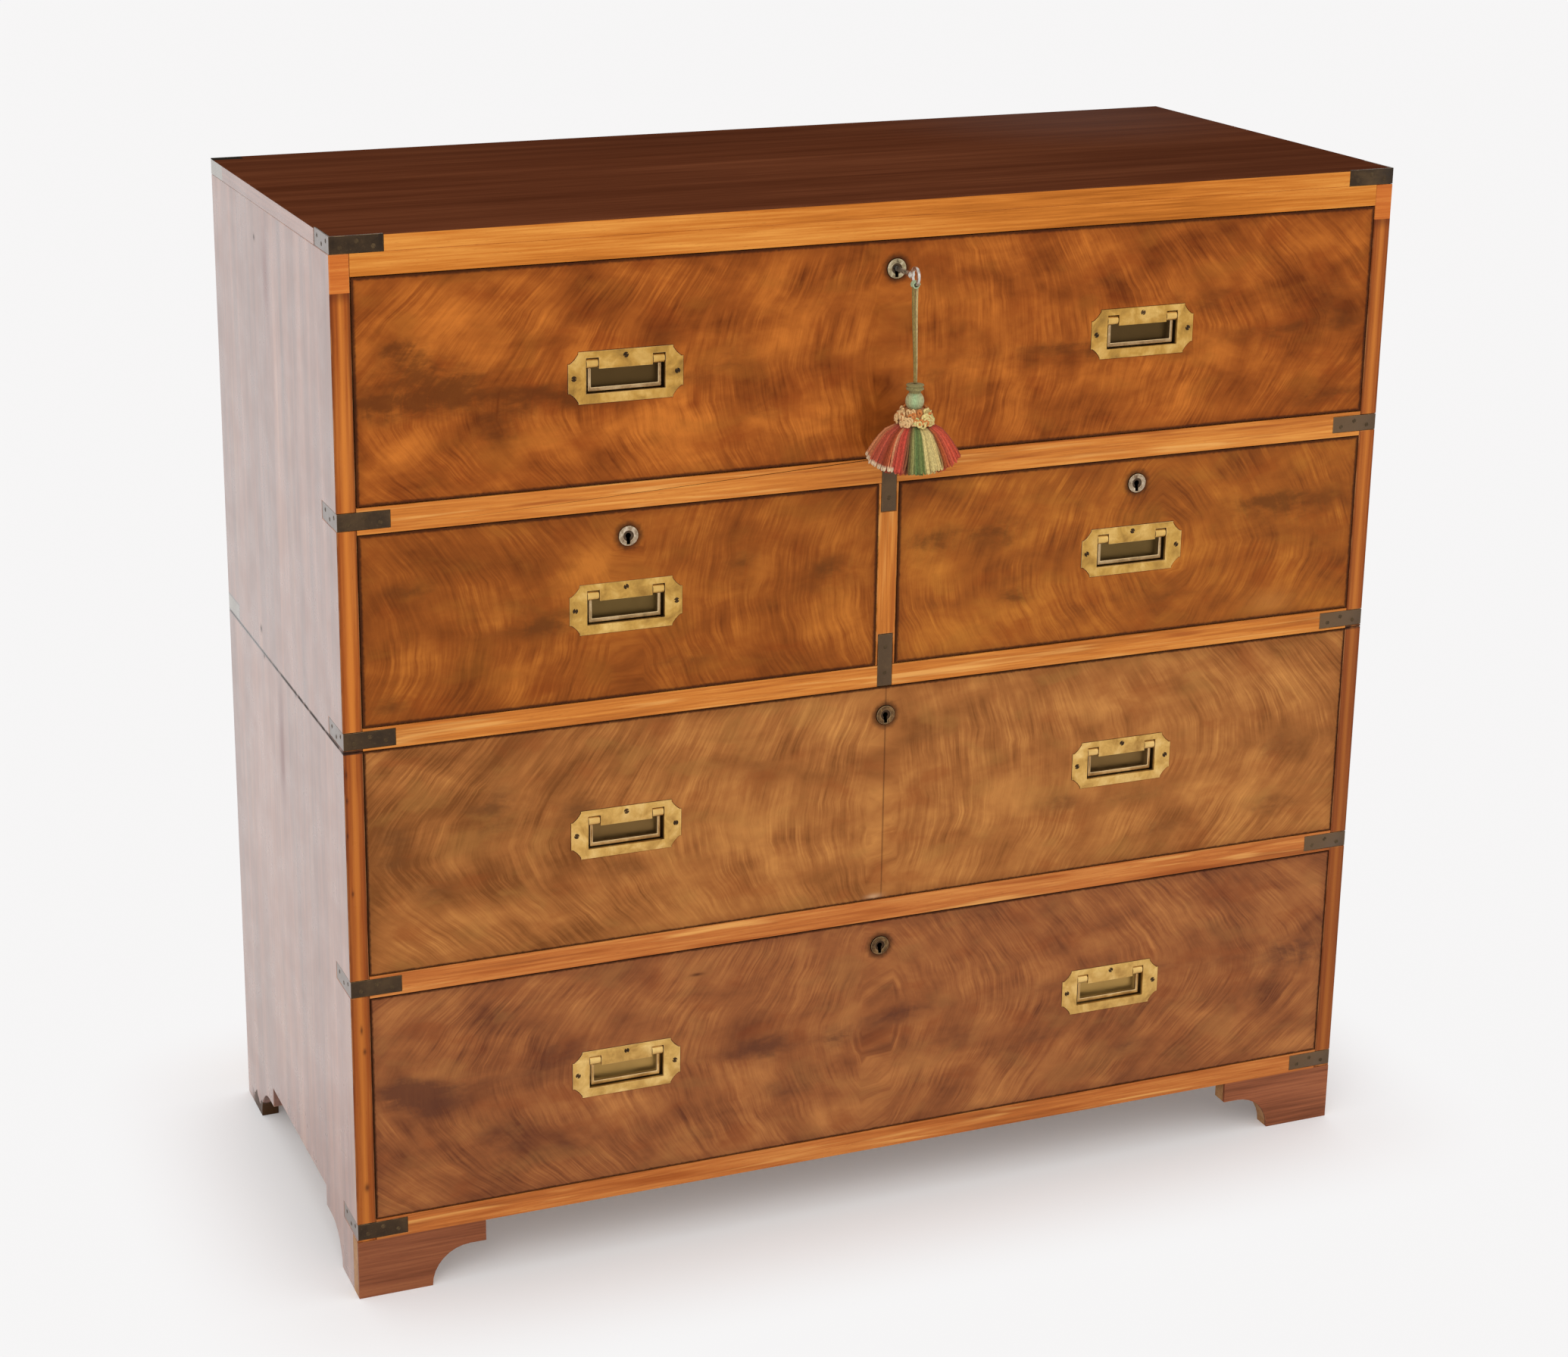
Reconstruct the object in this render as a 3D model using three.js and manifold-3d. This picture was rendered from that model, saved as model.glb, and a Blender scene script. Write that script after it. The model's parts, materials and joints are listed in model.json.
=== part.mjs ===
// Campaign chest: a two-part mahogany chest of drawers with let-in brass straps and flush brass handles.
// Millimetres. +X to the right, +Y to the back, +Z up. The front of the carcass faces -Y.
import * as THREE from "three";
import { mergeVertices } from "three/addons/utils/BufferGeometryUtils.js";
import Module from "manifold-3d";

const wasm = await Module();
wasm.setup();

// Overall size
const WIDTH = 1067;
const DEPTH = 458;

// Clearances
const SEAM = 0.3;
const DRAWER_GAP = 1;
const RUNNING_GAP = 0.3;
const OVERRUN = 20;

// Heights, from the floor up
const FOOT_HEIGHT = 59.5;
const BOTTOM_RAIL_HEIGHT = 21;
const FOURTH_OPENING_HEIGHT = 228.3;
const LOWER_RAIL_HEIGHT = 21.6;
const THIRD_OPENING_HEIGHT = 221;
const SPLIT_RAIL_HEIGHT = 21.3;
const SMALL_OPENING_HEIGHT = 181;
const UPPER_RAIL_HEIGHT = 24.5;
const FIRST_OPENING_HEIGHT = 206.5;
const TOP_RAIL_HEIGHT = 20.5;
const TOP_THICKNESS = 15.5;

// Boards
const SIDE_THICKNESS = 18;
const RAIL_DEPTH = 24;
const BOARD_THICKNESS = 11;
const HOUSING_DEPTH = 6;
const BACK_THICKNESS = 11;
const BACK_REBATE = 9;
const DIVIDER_THICKNESS = 20;
const EDGE_GROOVE = 0.5;
const PEG_RADIUS = 6;
const PEG_HEIGHT = 9;
const PEG_CLEARANCE = 0.5;
const PEG_INSET = 55;
const PEG_SIDES = 16;

// Bracket feet and arches
const FRONT_FOOT_LENGTH = 126.5;
const FRONT_FOOT_SOLE = 72.5;
const SIDE_FOOT_LENGTH = 119;
const SIDE_FOOT_SOLE = 62;
const FOOT_CURVE_RADIUS = 38;
const FOOT_THICKNESS = 18;
const FOOT_CURVE_STEPS = 8;

// Drawers
const FRONT_THICKNESS = 20;
const BOX_SIDE_THICKNESS = 10;
const BOX_BACK_THICKNESS = 9;
const BOX_BOTTOM_THICKNESS = 7;
const BOX_BOTTOM_RISE = 7;
const BOX_DROP = 16;
const BACK_DROP = 8;
const BOX_REAR_GAP = 8;
const BOTTOM_TONGUE = 6;
const TAIL_LENGTH = 14;
const TAIL_WIDTH = 26;
const TAIL_PITCH = 40;
const TAIL_SLOPE_SHARE = 0.16;

// Straps
const STRAP_HEIGHT = 16;
const STRAP_THICKNESS = 2;
const STRAP_FRONT_LENGTH = 49;
const STRAP_SIDE_LENGTH = 50;
const DIVIDER_STRAP_WIDTH = 15;
const DIVIDER_STRAP_LENGTH = 52;
const STRAP_MARGIN = 0.5;

// Handles
const HANDLE_SPACING = 263;
const FIRST_HANDLE_DROP = 3;
const SMALL_HANDLE_DROP = 2;
const PLATE_LENGTH = 110;
const PLATE_HEIGHT = 48;
const PLATE_THICKNESS = 2.5;
const PLATE_BITE_LENGTH = 9.8;
const PLATE_BITE_HEIGHT = 10.5;
const PLATE_BITE_SHOULDER = 1.8;
const PLATE_BITE_HOLLOW = 0.5;
const PLATE_BITE_STEPS = 4;
const CUP_LENGTH = 76;
const CUP_HEIGHT = 22.5;
const CUP_BELOW_CENTRE = 15;
const CUP_DEPTH = 13;
const CUP_WALL = 2.4;
const CUP_FLOOR = 1.4;
const KNUCKLE_LENGTH = 11.5;
const KNUCKLE_RADIUS = 5;
const KNUCKLE_SIDES = 16;
const KNUCKLE_CLEARANCE = 0.4;
const BAIL_THICKNESS = 2.8;
const BAIL_INSET = 3.8;
const BAIL_SIDE_GAP = 3;
const BAIL_REACH = 22.5;
const GRIP_HEIGHT = 3.6;
const PIVOT_RADIUS = 1.4;
const PIVOT_LENGTH = 1.6;
const PIVOT_SIDES = 10;

// Locks
const LOCK_OFFSET = 2;
const FIRST_LOCK_DROP = 26.5;
const SMALL_LOCK_DROP = 24.7;
const THIRD_LOCK_DROP = 28.4;
const FOURTH_LOCK_DROP = 26.3;
const RING_RADIUS = 9.4;
const RING_PROUD = 0.9;
const RING_RECESS_RADIUS = 5.1;
const RING_RECESS_DEPTH = 1;
const RING_SIDES = 28;
const LOCK_WIDTH = 66;
const LOCK_DEPTH = 13.6;
const LOCK_BELOW_KEY = 22;
const LOCK_WALL = 1.6;
const KEY_CLEARANCE = 0.5;
const CHAMBER_CLEARANCE = 3;
const BOLT_WIDTH = 22;
const BOLT_THICKNESS = 3;
const BOLT_HEIGHT = 17;
const BOLT_MORTISE_DEPTH = 10;
const BOLT_MORTISE_CLEARANCE = 1.2;

// Key
const KEY_SHANK_RADIUS = 2.2;
const KEY_SIDES = 16;
const KEY_REACH = 48;
const KEY_BIT_LENGTH = 7.6;
const KEY_BIT_WIDTH = 5;
const KEY_BIT_THICKNESS = 2.4;
const BOW_LENGTH = 16;
const BOW_HEIGHT = 18;
const BOW_WIRE = 3;
const BOW_THICKNESS = 2.4;
const BOW_SEGMENTS = 16;
const COLLAR_RADIUS = 3.4;
const COLLAR_LENGTH = 3;

// Cord and tassel
const CORD_RADIUS = 3;
const CORD_SIDES = 8;
const CORD_STEPS = 8;
const TASSEL_NECK_HEIGHT = 858.6;
const TASSEL_BOTTOM_HEIGHT = 777;
const TASSEL_ACROSS = 2.6;
const TASSEL_OUT = 44;
const COLLAR_KNOT_RADIUS = 8.4;
const BULB_RADIUS = 8.4;
const RUFF_RADIUS = 18.4;
const SKIRT_RADIUS = 45.6;
const SKIRT_DEPTH_SHARE = 0.86;
const SKIRT_WAVE_SHARE = 0.1;
const SKIRT_FOLDS = 12;
const TASSEL_SIDES = 48;

// Levels that follow from the heights
const bottomRailTop = FOOT_HEIGHT + BOTTOM_RAIL_HEIGHT;
const lowerRailBottom = bottomRailTop + FOURTH_OPENING_HEIGHT;
const lowerRailTop = lowerRailBottom + LOWER_RAIL_HEIGHT;
const split = lowerRailTop + THIRD_OPENING_HEIGHT;
const splitRailTop = split + SPLIT_RAIL_HEIGHT;
const upperRailBottom = splitRailTop + SMALL_OPENING_HEIGHT;
const upperRailTop = upperRailBottom + UPPER_RAIL_HEIGHT;
const topRailBottom = upperRailTop + FIRST_OPENING_HEIGHT;
const topUnderside = topRailBottom + TOP_RAIL_HEIGHT;
const height = topUnderside + TOP_THICKNESS;
const halfWidth = WIDTH / 2;
const innerHalf = halfWidth - SIDE_THICKNESS;
const boxDepth = DEPTH - BACK_THICKNESS - BOX_REAR_GAP;

// Finishes
const paint = (color, roughness, metalness) => () =>
  new THREE.MeshStandardMaterial({ color, roughness, metalness });
const topWood = paint(0x5a2c18, 0.32, 0);
const sideWood = paint(0x8a4f34, 0.42, 0);
const railWood = paint(0xb4611f, 0.4, 0);
const veneer = paint(0x8f4a1c, 0.35, 0);
const plainWood = paint(0xa8794a, 0.65, 0);
const brass = paint(0xc79a45, 0.34, 1);
const agedBrass = paint(0x4a3d2c, 0.5, 1);
const steel = paint(0xb9b4a8, 0.3, 1);
const cordYarn = paint(0x8f8a52, 0.9, 0);
const tasselYarn = paint(0xb8604a, 0.95, 0);

// Solids from three.js geometry
function toSolid(geometry) {
  const bare = geometry.clone();
  bare.deleteAttribute("normal");
  bare.deleteAttribute("uv");
  const merged = mergeVertices(bare);
  const triVerts = new Uint32Array(merged.index.array);
  const vertProperties = new Float32Array(merged.attributes.position.array);
  return new wasm.Manifold(new wasm.Mesh({ numProp: 3, vertProperties, triVerts }));
}

function toGeometry(solid) {
  const mesh = solid.getMesh();
  const geometry = new THREE.BufferGeometry();
  geometry.setAttribute("position", new THREE.BufferAttribute(mesh.vertProperties, 3));
  geometry.setIndex(new THREE.BufferAttribute(mesh.triVerts, 1));
  geometry.computeVertexNormals();
  return geometry;
}

const join = (first, ...others) => others.reduce((solid, other) => solid.add(other), first);
const cut = (first, ...others) => others.reduce((solid, other) => solid.subtract(other), first);

function block(x0, x1, y0, y1, z0, z1) {
  const box = new THREE.BoxGeometry(x1 - x0, y1 - y0, z1 - z0);
  box.translate((x0 + x1) / 2, (y0 + y1) / 2, (z0 + z1) / 2);
  return toSolid(box);
}

// A front-view outline in X and Z, carried from y0 back to y1
function frontSlab(outline, y0, y1) {
  const slab = new THREE.ExtrudeGeometry(outline, { depth: y1 - y0, bevelEnabled: false });
  slab.rotateX(Math.PI / 2).translate(0, y1, 0);
  return toSolid(slab);
}

// A side-view outline in Y and Z, carried from x0 to x1
const sideView = new THREE.Matrix4().makeBasis(
  new THREE.Vector3(0, 1, 0), new THREE.Vector3(0, 0, 1), new THREE.Vector3(1, 0, 0),
);

function sideSlab(outline, x0, x1, curveSegments = 1) {
  const settings = { depth: x1 - x0, bevelEnabled: false, curveSegments };
  const slab = new THREE.ExtrudeGeometry(outline, settings);
  return toSolid(slab.applyMatrix4(sideView).translate(x0, 0, 0));
}

// A round bar along Y (front to back), centred at x and z
function barAlongY(radius, x, y0, y1, z, sides) {
  const bar = new THREE.CylinderGeometry(radius, radius, y1 - y0, sides);
  return toSolid(bar.translate(x, (y0 + y1) / 2, z));
}

function barAlongX(radius, x0, x1, y, z, sides) {
  const bar = new THREE.CylinderGeometry(radius, radius, x1 - x0, sides);
  return toSolid(bar.rotateZ(Math.PI / 2).translate((x0 + x1) / 2, y, z));
}

function barAlongZ(radius, x, y, z0, z1, sides) {
  const bar = new THREE.CylinderGeometry(radius, radius, z1 - z0, sides);
  return toSolid(bar.rotateX(Math.PI / 2).translate(x, y, (z0 + z1) / 2));
}

const outlineOf = (points) => new THREE.Shape(points.map(([u, v]) => new THREE.Vector2(u, v)));

// The chest as a whole; the frame's origin is under the middle of its box, key included
const chest = new THREE.Group();
const frontToMiddle = (DEPTH - KEY_REACH) / 2;
chest.position.y = -frontToMiddle;

function place(name, solid, finish, parent = chest) {
  const mesh = new THREE.Mesh(toGeometry(solid), finish());
  mesh.name = name;
  parent.add(mesh);
  return mesh;
}

// Straps let in at the front corners: an L of flat brass round each corner
const strapLevels = {
  top: height - TOP_THICKNESS / 2,
  upper_rail: upperRailTop - UPPER_RAIL_HEIGHT / 2 + STRAP_MARGIN,
  split_rail: split + SPLIT_RAIL_HEIGHT / 2,
  lower_rail: lowerRailBottom + LOWER_RAIL_HEIGHT / 2,
  bottom_rail: FOOT_HEIGHT + BOTTOM_RAIL_HEIGHT / 2,
};
const strapHeights = { top: TOP_THICKNESS };

function strapSolid(level, side, clearance) {
  const middle = strapLevels[level];
  const half = (strapHeights[level] ?? STRAP_HEIGHT) / 2 + clearance;
  const outer = halfWidth + (clearance ? OVERRUN : 0);
  const face = clearance ? -OVERRUN : 0;
  const inner = halfWidth - STRAP_FRONT_LENGTH - clearance;
  const skin = halfWidth - STRAP_THICKNESS - clearance;
  const deep = STRAP_THICKNESS + clearance;
  const rear = STRAP_SIDE_LENGTH + clearance;
  const front = block(inner, outer, face, deep, middle - half, middle + half);
  const flank = block(skin, outer, face, rear, middle - half, middle + half);
  const right = join(front, flank);
  return side > 0 ? right : right.mirror([1, 0, 0]);
}

const strapPockets = (levels, sides) =>
  levels.flatMap((level) => sides.map((side) => strapSolid(level, side, SEAM)));

// Straps up the divider at its head and foot
const dividerStraps = {
  divider_strap_upper: [upperRailTop - DIVIDER_STRAP_LENGTH - STRAP_MARGIN, upperRailTop - STRAP_MARGIN],
  divider_strap_lower: [split + STRAP_MARGIN, split + STRAP_MARGIN + DIVIDER_STRAP_LENGTH],
};

function dividerStrapSolid(name, clearance) {
  const [bottom, top] = dividerStraps[name];
  const half = DIVIDER_STRAP_WIDTH / 2 + clearance;
  const face = clearance ? -OVERRUN : 0;
  return block(-half, half, face, STRAP_THICKNESS + clearance, bottom - clearance, top + clearance);
}

// Bracket feet: a sole, a hollow quarter curve, a flat and a square step up to the rail
function footEdge(length, sole) {
  const edge = [[sole, 0]];
  for (let step = 1; step <= FOOT_CURVE_STEPS; step += 1) {
    const turn = (step / FOOT_CURVE_STEPS) * (Math.PI / 2);
    const run = sole + FOOT_CURVE_RADIUS * (1 - Math.cos(turn));
    edge.push([run, FOOT_CURVE_RADIUS * Math.sin(turn)]);
  }
  edge.push([length, FOOT_CURVE_RADIUS], [length, FOOT_HEIGHT]);
  return edge;
}

// An arch between two bracket feet along a span from 0 to the given length
function archOutline(span, footLength, footSole) {
  const left = footEdge(footLength, footSole);
  const right = left.map(([u, v]) => [span - u, v]).reverse();
  const below = -OVERRUN;
  return outlineOf([[footSole, below], ...left, ...right, [span - footSole, below]]);
}

const frontArch = (y0, y1) =>
  frontSlab(archOutline(WIDTH, FRONT_FOOT_LENGTH, FRONT_FOOT_SOLE), y0, y1).translate([-halfWidth, 0, 0]);

const sideArch = (x0, x1) => sideSlab(archOutline(DEPTH, SIDE_FOOT_LENGTH, SIDE_FOOT_SOLE), x0, x1);

// Side boards, housed out for the boards that run across and rebated for the back
function shelfHousing(underside, top) {
  const outer = innerHalf + HOUSING_DEPTH + SEAM;
  const front = RAIL_DEPTH - SEAM;
  return block(innerHalf - OVERRUN, outer, front, DEPTH + OVERRUN, underside - SEAM, top + SEAM);
}

function backRebate(z0, z1) {
  const rebateFront = DEPTH - BACK_THICKNESS - SEAM;
  return block(innerHalf - OVERRUN, innerHalf + BACK_REBATE, rebateFront, DEPTH + OVERRUN, z0, z1);
}

function upperSide(side) {
  const board = block(innerHalf, halfWidth, 0, DEPTH, split + SEAM, topUnderside - SEAM);
  const shelves = [
    shelfHousing(splitRailTop - BOARD_THICKNESS, splitRailTop),
    shelfHousing(upperRailTop - BOARD_THICKNESS, upperRailTop),
  ];
  const rebate = backRebate(split, topUnderside);
  const straps = strapPockets(["upper_rail", "split_rail"], [1]);
  const right = cut(board, ...shelves, rebate, ...straps);
  return side > 0 ? right : right.mirror([1, 0, 0]);
}

function lowerSide(side) {
  const board = block(innerHalf, halfWidth, 0, DEPTH, 0, split);
  const arch = sideArch(innerHalf - OVERRUN, halfWidth + OVERRUN);
  const shelves = [
    shelfHousing(bottomRailTop - BOARD_THICKNESS, bottomRailTop),
    shelfHousing(lowerRailTop - BOARD_THICKNESS, lowerRailTop),
    shelfHousing(split - BOARD_THICKNESS, split + OVERRUN),
  ];
  const footNotch = block(
    innerHalf - OVERRUN, halfWidth + OVERRUN, -OVERRUN, FOOT_THICKNESS + SEAM, -OVERRUN, FOOT_HEIGHT + SEAM,
  );
  const rebate = backRebate(-OVERRUN, split + OVERRUN);
  const straps = strapPockets(["lower_rail", "bottom_rail"], [1]);
  const right = cut(board, arch, ...shelves, footNotch, rebate, ...straps);
  return side > 0 ? right : right.mirror([1, 0, 0]);
}

// A board across the carcass, its ends in the side boards' housings
function crossBoard(boardTop) {
  const half = innerHalf + HOUSING_DEPTH;
  const back = DEPTH - BACK_THICKNESS - 2 * SEAM;
  return block(-half, half, RAIL_DEPTH, back, boardTop - BOARD_THICKNESS, boardTop);
}

// Rail glued to the board behind it; the rail fills the front between the stiles
function railAndBoard(railBottom, railTop) {
  const railHalf = innerHalf - SEAM;
  const rail = block(-railHalf, railHalf, 0, RAIL_DEPTH + SEAM, railBottom, railTop);
  return join(rail, crossBoard(railTop));
}

const pegPlaces = [-1, 1].flatMap((across) => [0, 1].map((behind) => [
  across * (innerHalf - PEG_INSET),
  behind ? DEPTH - BACK_THICKNESS - PEG_INSET : PEG_INSET,
]));

function topBoard() {
  const board = block(-halfWidth, halfWidth, 0, DEPTH, topUnderside, height);
  const railHalf = innerHalf - SEAM;
  const rail = block(-railHalf, railHalf, 0, RAIL_DEPTH, topRailBottom, topUnderside + SEAM);
  const groove = outlineOf([
    [-EDGE_GROOVE, -EDGE_GROOVE], [EDGE_GROOVE, 0], [-EDGE_GROOVE, EDGE_GROOVE],
  ]);
  const seam = sideSlab(groove, -halfWidth - OVERRUN, halfWidth + OVERRUN).translate([0, 0, topUnderside]);
  const mortiseHalf = BOLT_WIDTH / 2 + BOLT_MORTISE_CLEARANCE;
  const mortise = block(
    LOCK_OFFSET - mortiseHalf, LOCK_OFFSET + mortiseHalf,
    boltFront - BOLT_MORTISE_CLEARANCE, boltBack + BOLT_MORTISE_CLEARANCE,
    topRailBottom - OVERRUN, topRailBottom + BOLT_MORTISE_DEPTH,
  );
  return cut(join(board, rail), seam, mortise, ...strapPockets(["top"], [-1, 1]));
}

function backBoard(z0, z1) {
  const half = innerHalf + BACK_REBATE - SEAM;
  return block(-half, half, DEPTH - BACK_THICKNESS, DEPTH, z0, z1);
}

function lowerBack() {
  return cut(backBoard(0, split), frontArch(DEPTH - OVERRUN, DEPTH + OVERRUN));
}

function upperMidShelf() {
  const frame = railAndBoard(upperRailBottom, upperRailTop);
  const straps = strapPockets(["upper_rail"], [-1, 1]);
  return cut(frame, ...straps, dividerStrapSolid("divider_strap_upper", SEAM));
}

function upperDivider() {
  const half = DIVIDER_THICKNESS / 2;
  const back = DEPTH - BACK_THICKNESS - SEAM;
  const front = block(-half, half, 0, back, splitRailTop + SEAM, upperRailBottom - SEAM);
  const headFront = RAIL_DEPTH + 2 * SEAM;
  const headTop = upperRailTop - BOARD_THICKNESS - SEAM;
  const head = block(-half, half, headFront, back, upperRailBottom - 2 * SEAM, headTop);
  const straps = Object.keys(dividerStraps).map((name) => dividerStrapSolid(name, SEAM));
  return cut(join(front, head), ...straps);
}

function upperBottom() {
  const frame = railAndBoard(split + SEAM, splitRailTop);
  const holes = pegPlaces.map(([x, y]) =>
    barAlongZ(PEG_RADIUS + PEG_CLEARANCE, x, y, split - OVERRUN, splitRailTop + OVERRUN, PEG_SIDES));
  const straps = strapPockets(["split_rail"], [-1, 1]);
  return cut(frame, ...holes, ...straps, dividerStrapSolid("divider_strap_lower", SEAM));
}

// Cover of the lower half, behind the third drawer's front, with the pegs that locate the upper half
function lowerTopBoard() {
  const pegFoot = split - BOARD_THICKNESS / 2;
  const pegTop = splitRailTop - BOARD_THICKNESS + PEG_HEIGHT;
  const pegs = pegPlaces.map(([x, y]) => barAlongZ(PEG_RADIUS, x, y, pegFoot, pegTop, PEG_SIDES));
  return join(crossBoard(split), ...pegs);
}

function lowerMidShelf() {
  return cut(railAndBoard(lowerRailBottom, lowerRailTop), ...strapPockets(["lower_rail"], [-1, 1]));
}

// Bottom rail, bottom board and the two front bracket feet, which run out to the corners
function lowerBottom() {
  const frame = railAndBoard(FOOT_HEIGHT - SEAM, bottomRailTop);
  const feet = block(-halfWidth, halfWidth, 0, FOOT_THICKNESS, 0, FOOT_HEIGHT);
  const arch = frontArch(-OVERRUN, RAIL_DEPTH + OVERRUN);
  return cut(join(frame, feet), arch, ...strapPockets(["bottom_rail"], [-1, 1]));
}

// Handle plate: each corner cut off aslant, a little hollow, between two small shoulders
function plateOutline(grow) {
  const halfLength = PLATE_LENGTH / 2 + grow;
  const halfHeight = PLATE_HEIGHT / 2 + grow;
  const shoulder = PLATE_BITE_SHOULDER;
  const quarter = [[halfLength, halfHeight - PLATE_BITE_HEIGHT]];
  for (let step = 0; step <= PLATE_BITE_STEPS; step += 1) {
    const along = step / PLATE_BITE_STEPS;
    const hollow = PLATE_BITE_HOLLOW * Math.sin(along * Math.PI);
    quarter.push([
      halfLength - shoulder - (PLATE_BITE_LENGTH - shoulder) * along - hollow,
      halfHeight - shoulder - (PLATE_BITE_HEIGHT - shoulder) * (1 - along) - hollow,
    ]);
  }
  quarter.push([halfLength - PLATE_BITE_LENGTH, halfHeight]);
  const upperLeft = quarter.map(([u, v]) => [-u, v]).reverse();
  const lowerLeft = quarter.map(([u, v]) => [-u, -v]);
  const lowerRight = quarter.map(([u, v]) => [u, -v]).reverse();
  return outlineOf([...quarter, ...upperLeft, ...lowerLeft, ...lowerRight]);
}

// Handle sizes about the plate's centre; the knuckles sit in notches over the cup's top corners
const cupHalf = CUP_LENGTH / 2;
const cupBottom = -CUP_BELOW_CENTRE;
const cupTop = cupBottom + CUP_HEIGHT;
const notchHeight = 2 * KNUCKLE_RADIUS + KNUCKLE_CLEARANCE;
const notchTop = cupTop + notchHeight;
const notchInner = cupHalf - KNUCKLE_LENGTH - 2 * KNUCKLE_CLEARANCE;
const hollowTop = notchTop + KNUCKLE_CLEARANCE;
const pivotHeight = cupTop + KNUCKLE_RADIUS;
const pivotDepth = KNUCKLE_RADIUS;

function cupShell(front, clearance) {
  const half = cupHalf + CUP_WALL + clearance;
  const deep = CUP_DEPTH + CUP_FLOOR + clearance;
  return block(-half, half, front, deep, cupBottom - CUP_WALL - clearance, hollowTop + CUP_WALL + clearance);
}

function handlePlate() {
  const flange = frontSlab(plateOutline(0), 0, PLATE_THICKNESS);
  const shell = cupShell(0, 0);
  const hollow = block(-cupHalf, cupHalf, PLATE_THICKNESS, CUP_DEPTH, cupBottom, hollowTop);
  const mouth = block(-cupHalf, cupHalf, -OVERRUN, PLATE_THICKNESS + SEAM, cupBottom, cupTop);
  const notches = [-1, 1].map((side) => {
    const notch = block(notchInner, cupHalf, -OVERRUN, PLATE_THICKNESS + SEAM, cupBottom, notchTop);
    return side > 0 ? notch : notch.mirror([1, 0, 0]);
  });
  const boreRadius = PIVOT_RADIUS + KNUCKLE_CLEARANCE;
  const boreHalf = cupHalf + OVERRUN;
  const bore = barAlongX(boreRadius, -boreHalf, boreHalf, pivotDepth, pivotHeight, PIVOT_SIDES);
  return cut(join(flange, shell), hollow, mouth, ...notches, bore);
}

// The bail: two knuckles with pivot pins, two slender arms and the grip bar, lying back in the cup
function bail() {
  const outer = cupHalf - KNUCKLE_CLEARANCE;
  const armOuter = cupHalf - BAIL_SIDE_GAP;
  const armInner = armOuter - BAIL_THICKNESS;
  const front = BAIL_INSET - pivotDepth;
  const back = front + BAIL_THICKNESS;
  const gripBottom = -BAIL_REACH - GRIP_HEIGHT;
  const arm = block(armInner, armOuter, front, back, gripBottom, 0);
  const knuckle = barAlongX(KNUCKLE_RADIUS, outer - KNUCKLE_LENGTH, outer, 0, 0, KNUCKLE_SIDES);
  const pin = barAlongX(PIVOT_RADIUS, outer - KNUCKLE_LENGTH / 2, outer + PIVOT_LENGTH, 0, 0, PIVOT_SIDES);
  const half = join(arm, knuckle, pin);
  const grip = block(-armOuter, armOuter, front, back, gripBottom, -BAIL_REACH);
  return join(half, half.mirror([1, 0, 0]), grip);
}

const handlePocket = () => join(
  frontSlab(plateOutline(SEAM), -OVERRUN, PLATE_THICKNESS + SEAM),
  cupShell(-OVERRUN, SEAM),
);

// Locks: a case let into the back of the drawer front, its nozzle coming through as a recessed ring
const lockFront = FRONT_THICKNESS - LOCK_DEPTH;
const boltBack = FRONT_THICKNESS - LOCK_WALL - SEAM;
const boltFront = boltBack - BOLT_THICKNESS;

function keyhole(y0, y1) {
  const slotHalf = KEY_BIT_THICKNESS / 2 + KEY_CLEARANCE;
  const round = barAlongY(KEY_SHANK_RADIUS + KEY_CLEARANCE, 0, y0, y1, 0, KEY_SIDES);
  return join(round, block(-slotHalf, slotHalf, y0, y1, -KEY_BIT_LENGTH - KEY_CLEARANCE, 0));
}

function lockSolid(edgeHeight, hasKey) {
  const half = LOCK_WIDTH / 2;
  const body = block(-half, half, lockFront, FRONT_THICKNESS, -LOCK_BELOW_KEY, edgeHeight);
  const nozzle = barAlongY(RING_RADIUS, 0, -RING_PROUD, lockFront + LOCK_WALL / 2, 0, RING_SIDES);
  const recessFloor = RING_RECESS_DEPTH - RING_PROUD;
  const recess = barAlongY(RING_RECESS_RADIUS, 0, -RING_PROUD - OVERRUN, recessFloor, 0, RING_SIDES);
  const caseAndNozzle = cut(join(body, nozzle), recess);
  const inner = lockFront + LOCK_WALL;
  if (!hasKey) {
    return cut(caseAndNozzle, keyhole(-OVERRUN, FRONT_THICKNESS - 2 * LOCK_WALL));
  }
  const chamberRadius = KEY_BIT_LENGTH + CHAMBER_CLEARANCE;
  const chamber = barAlongY(chamberRadius, 0, inner, boltBack + SEAM, 0, RING_SIDES);
  const boltHalf = BOLT_WIDTH / 2 + SEAM;
  const channel = block(-boltHalf, boltHalf, boltFront - SEAM, boltBack + SEAM, 0, edgeHeight + OVERRUN);
  return cut(caseAndNozzle, keyhole(-OVERRUN, inner + SEAM), chamber, channel);
}

function lockPocket(edgeHeight) {
  const half = LOCK_WIDTH / 2 + SEAM;
  const recess = block(
    -half, half, lockFront - SEAM, FRONT_THICKNESS + OVERRUN, -LOCK_BELOW_KEY - SEAM, edgeHeight + OVERRUN,
  );
  return join(recess, barAlongY(RING_RADIUS + SEAM, 0, -OVERRUN, lockFront, 0, RING_SIDES));
}

// Drawer front and box, joined by lapped dovetails
function tailPlaces(boxHeight) {
  const count = Math.max(2, Math.floor(boxHeight / TAIL_PITCH));
  const pitch = boxHeight / count;
  return Array.from({ length: count }, (_, index) => pitch * (index + 1 / 2));
}

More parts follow.
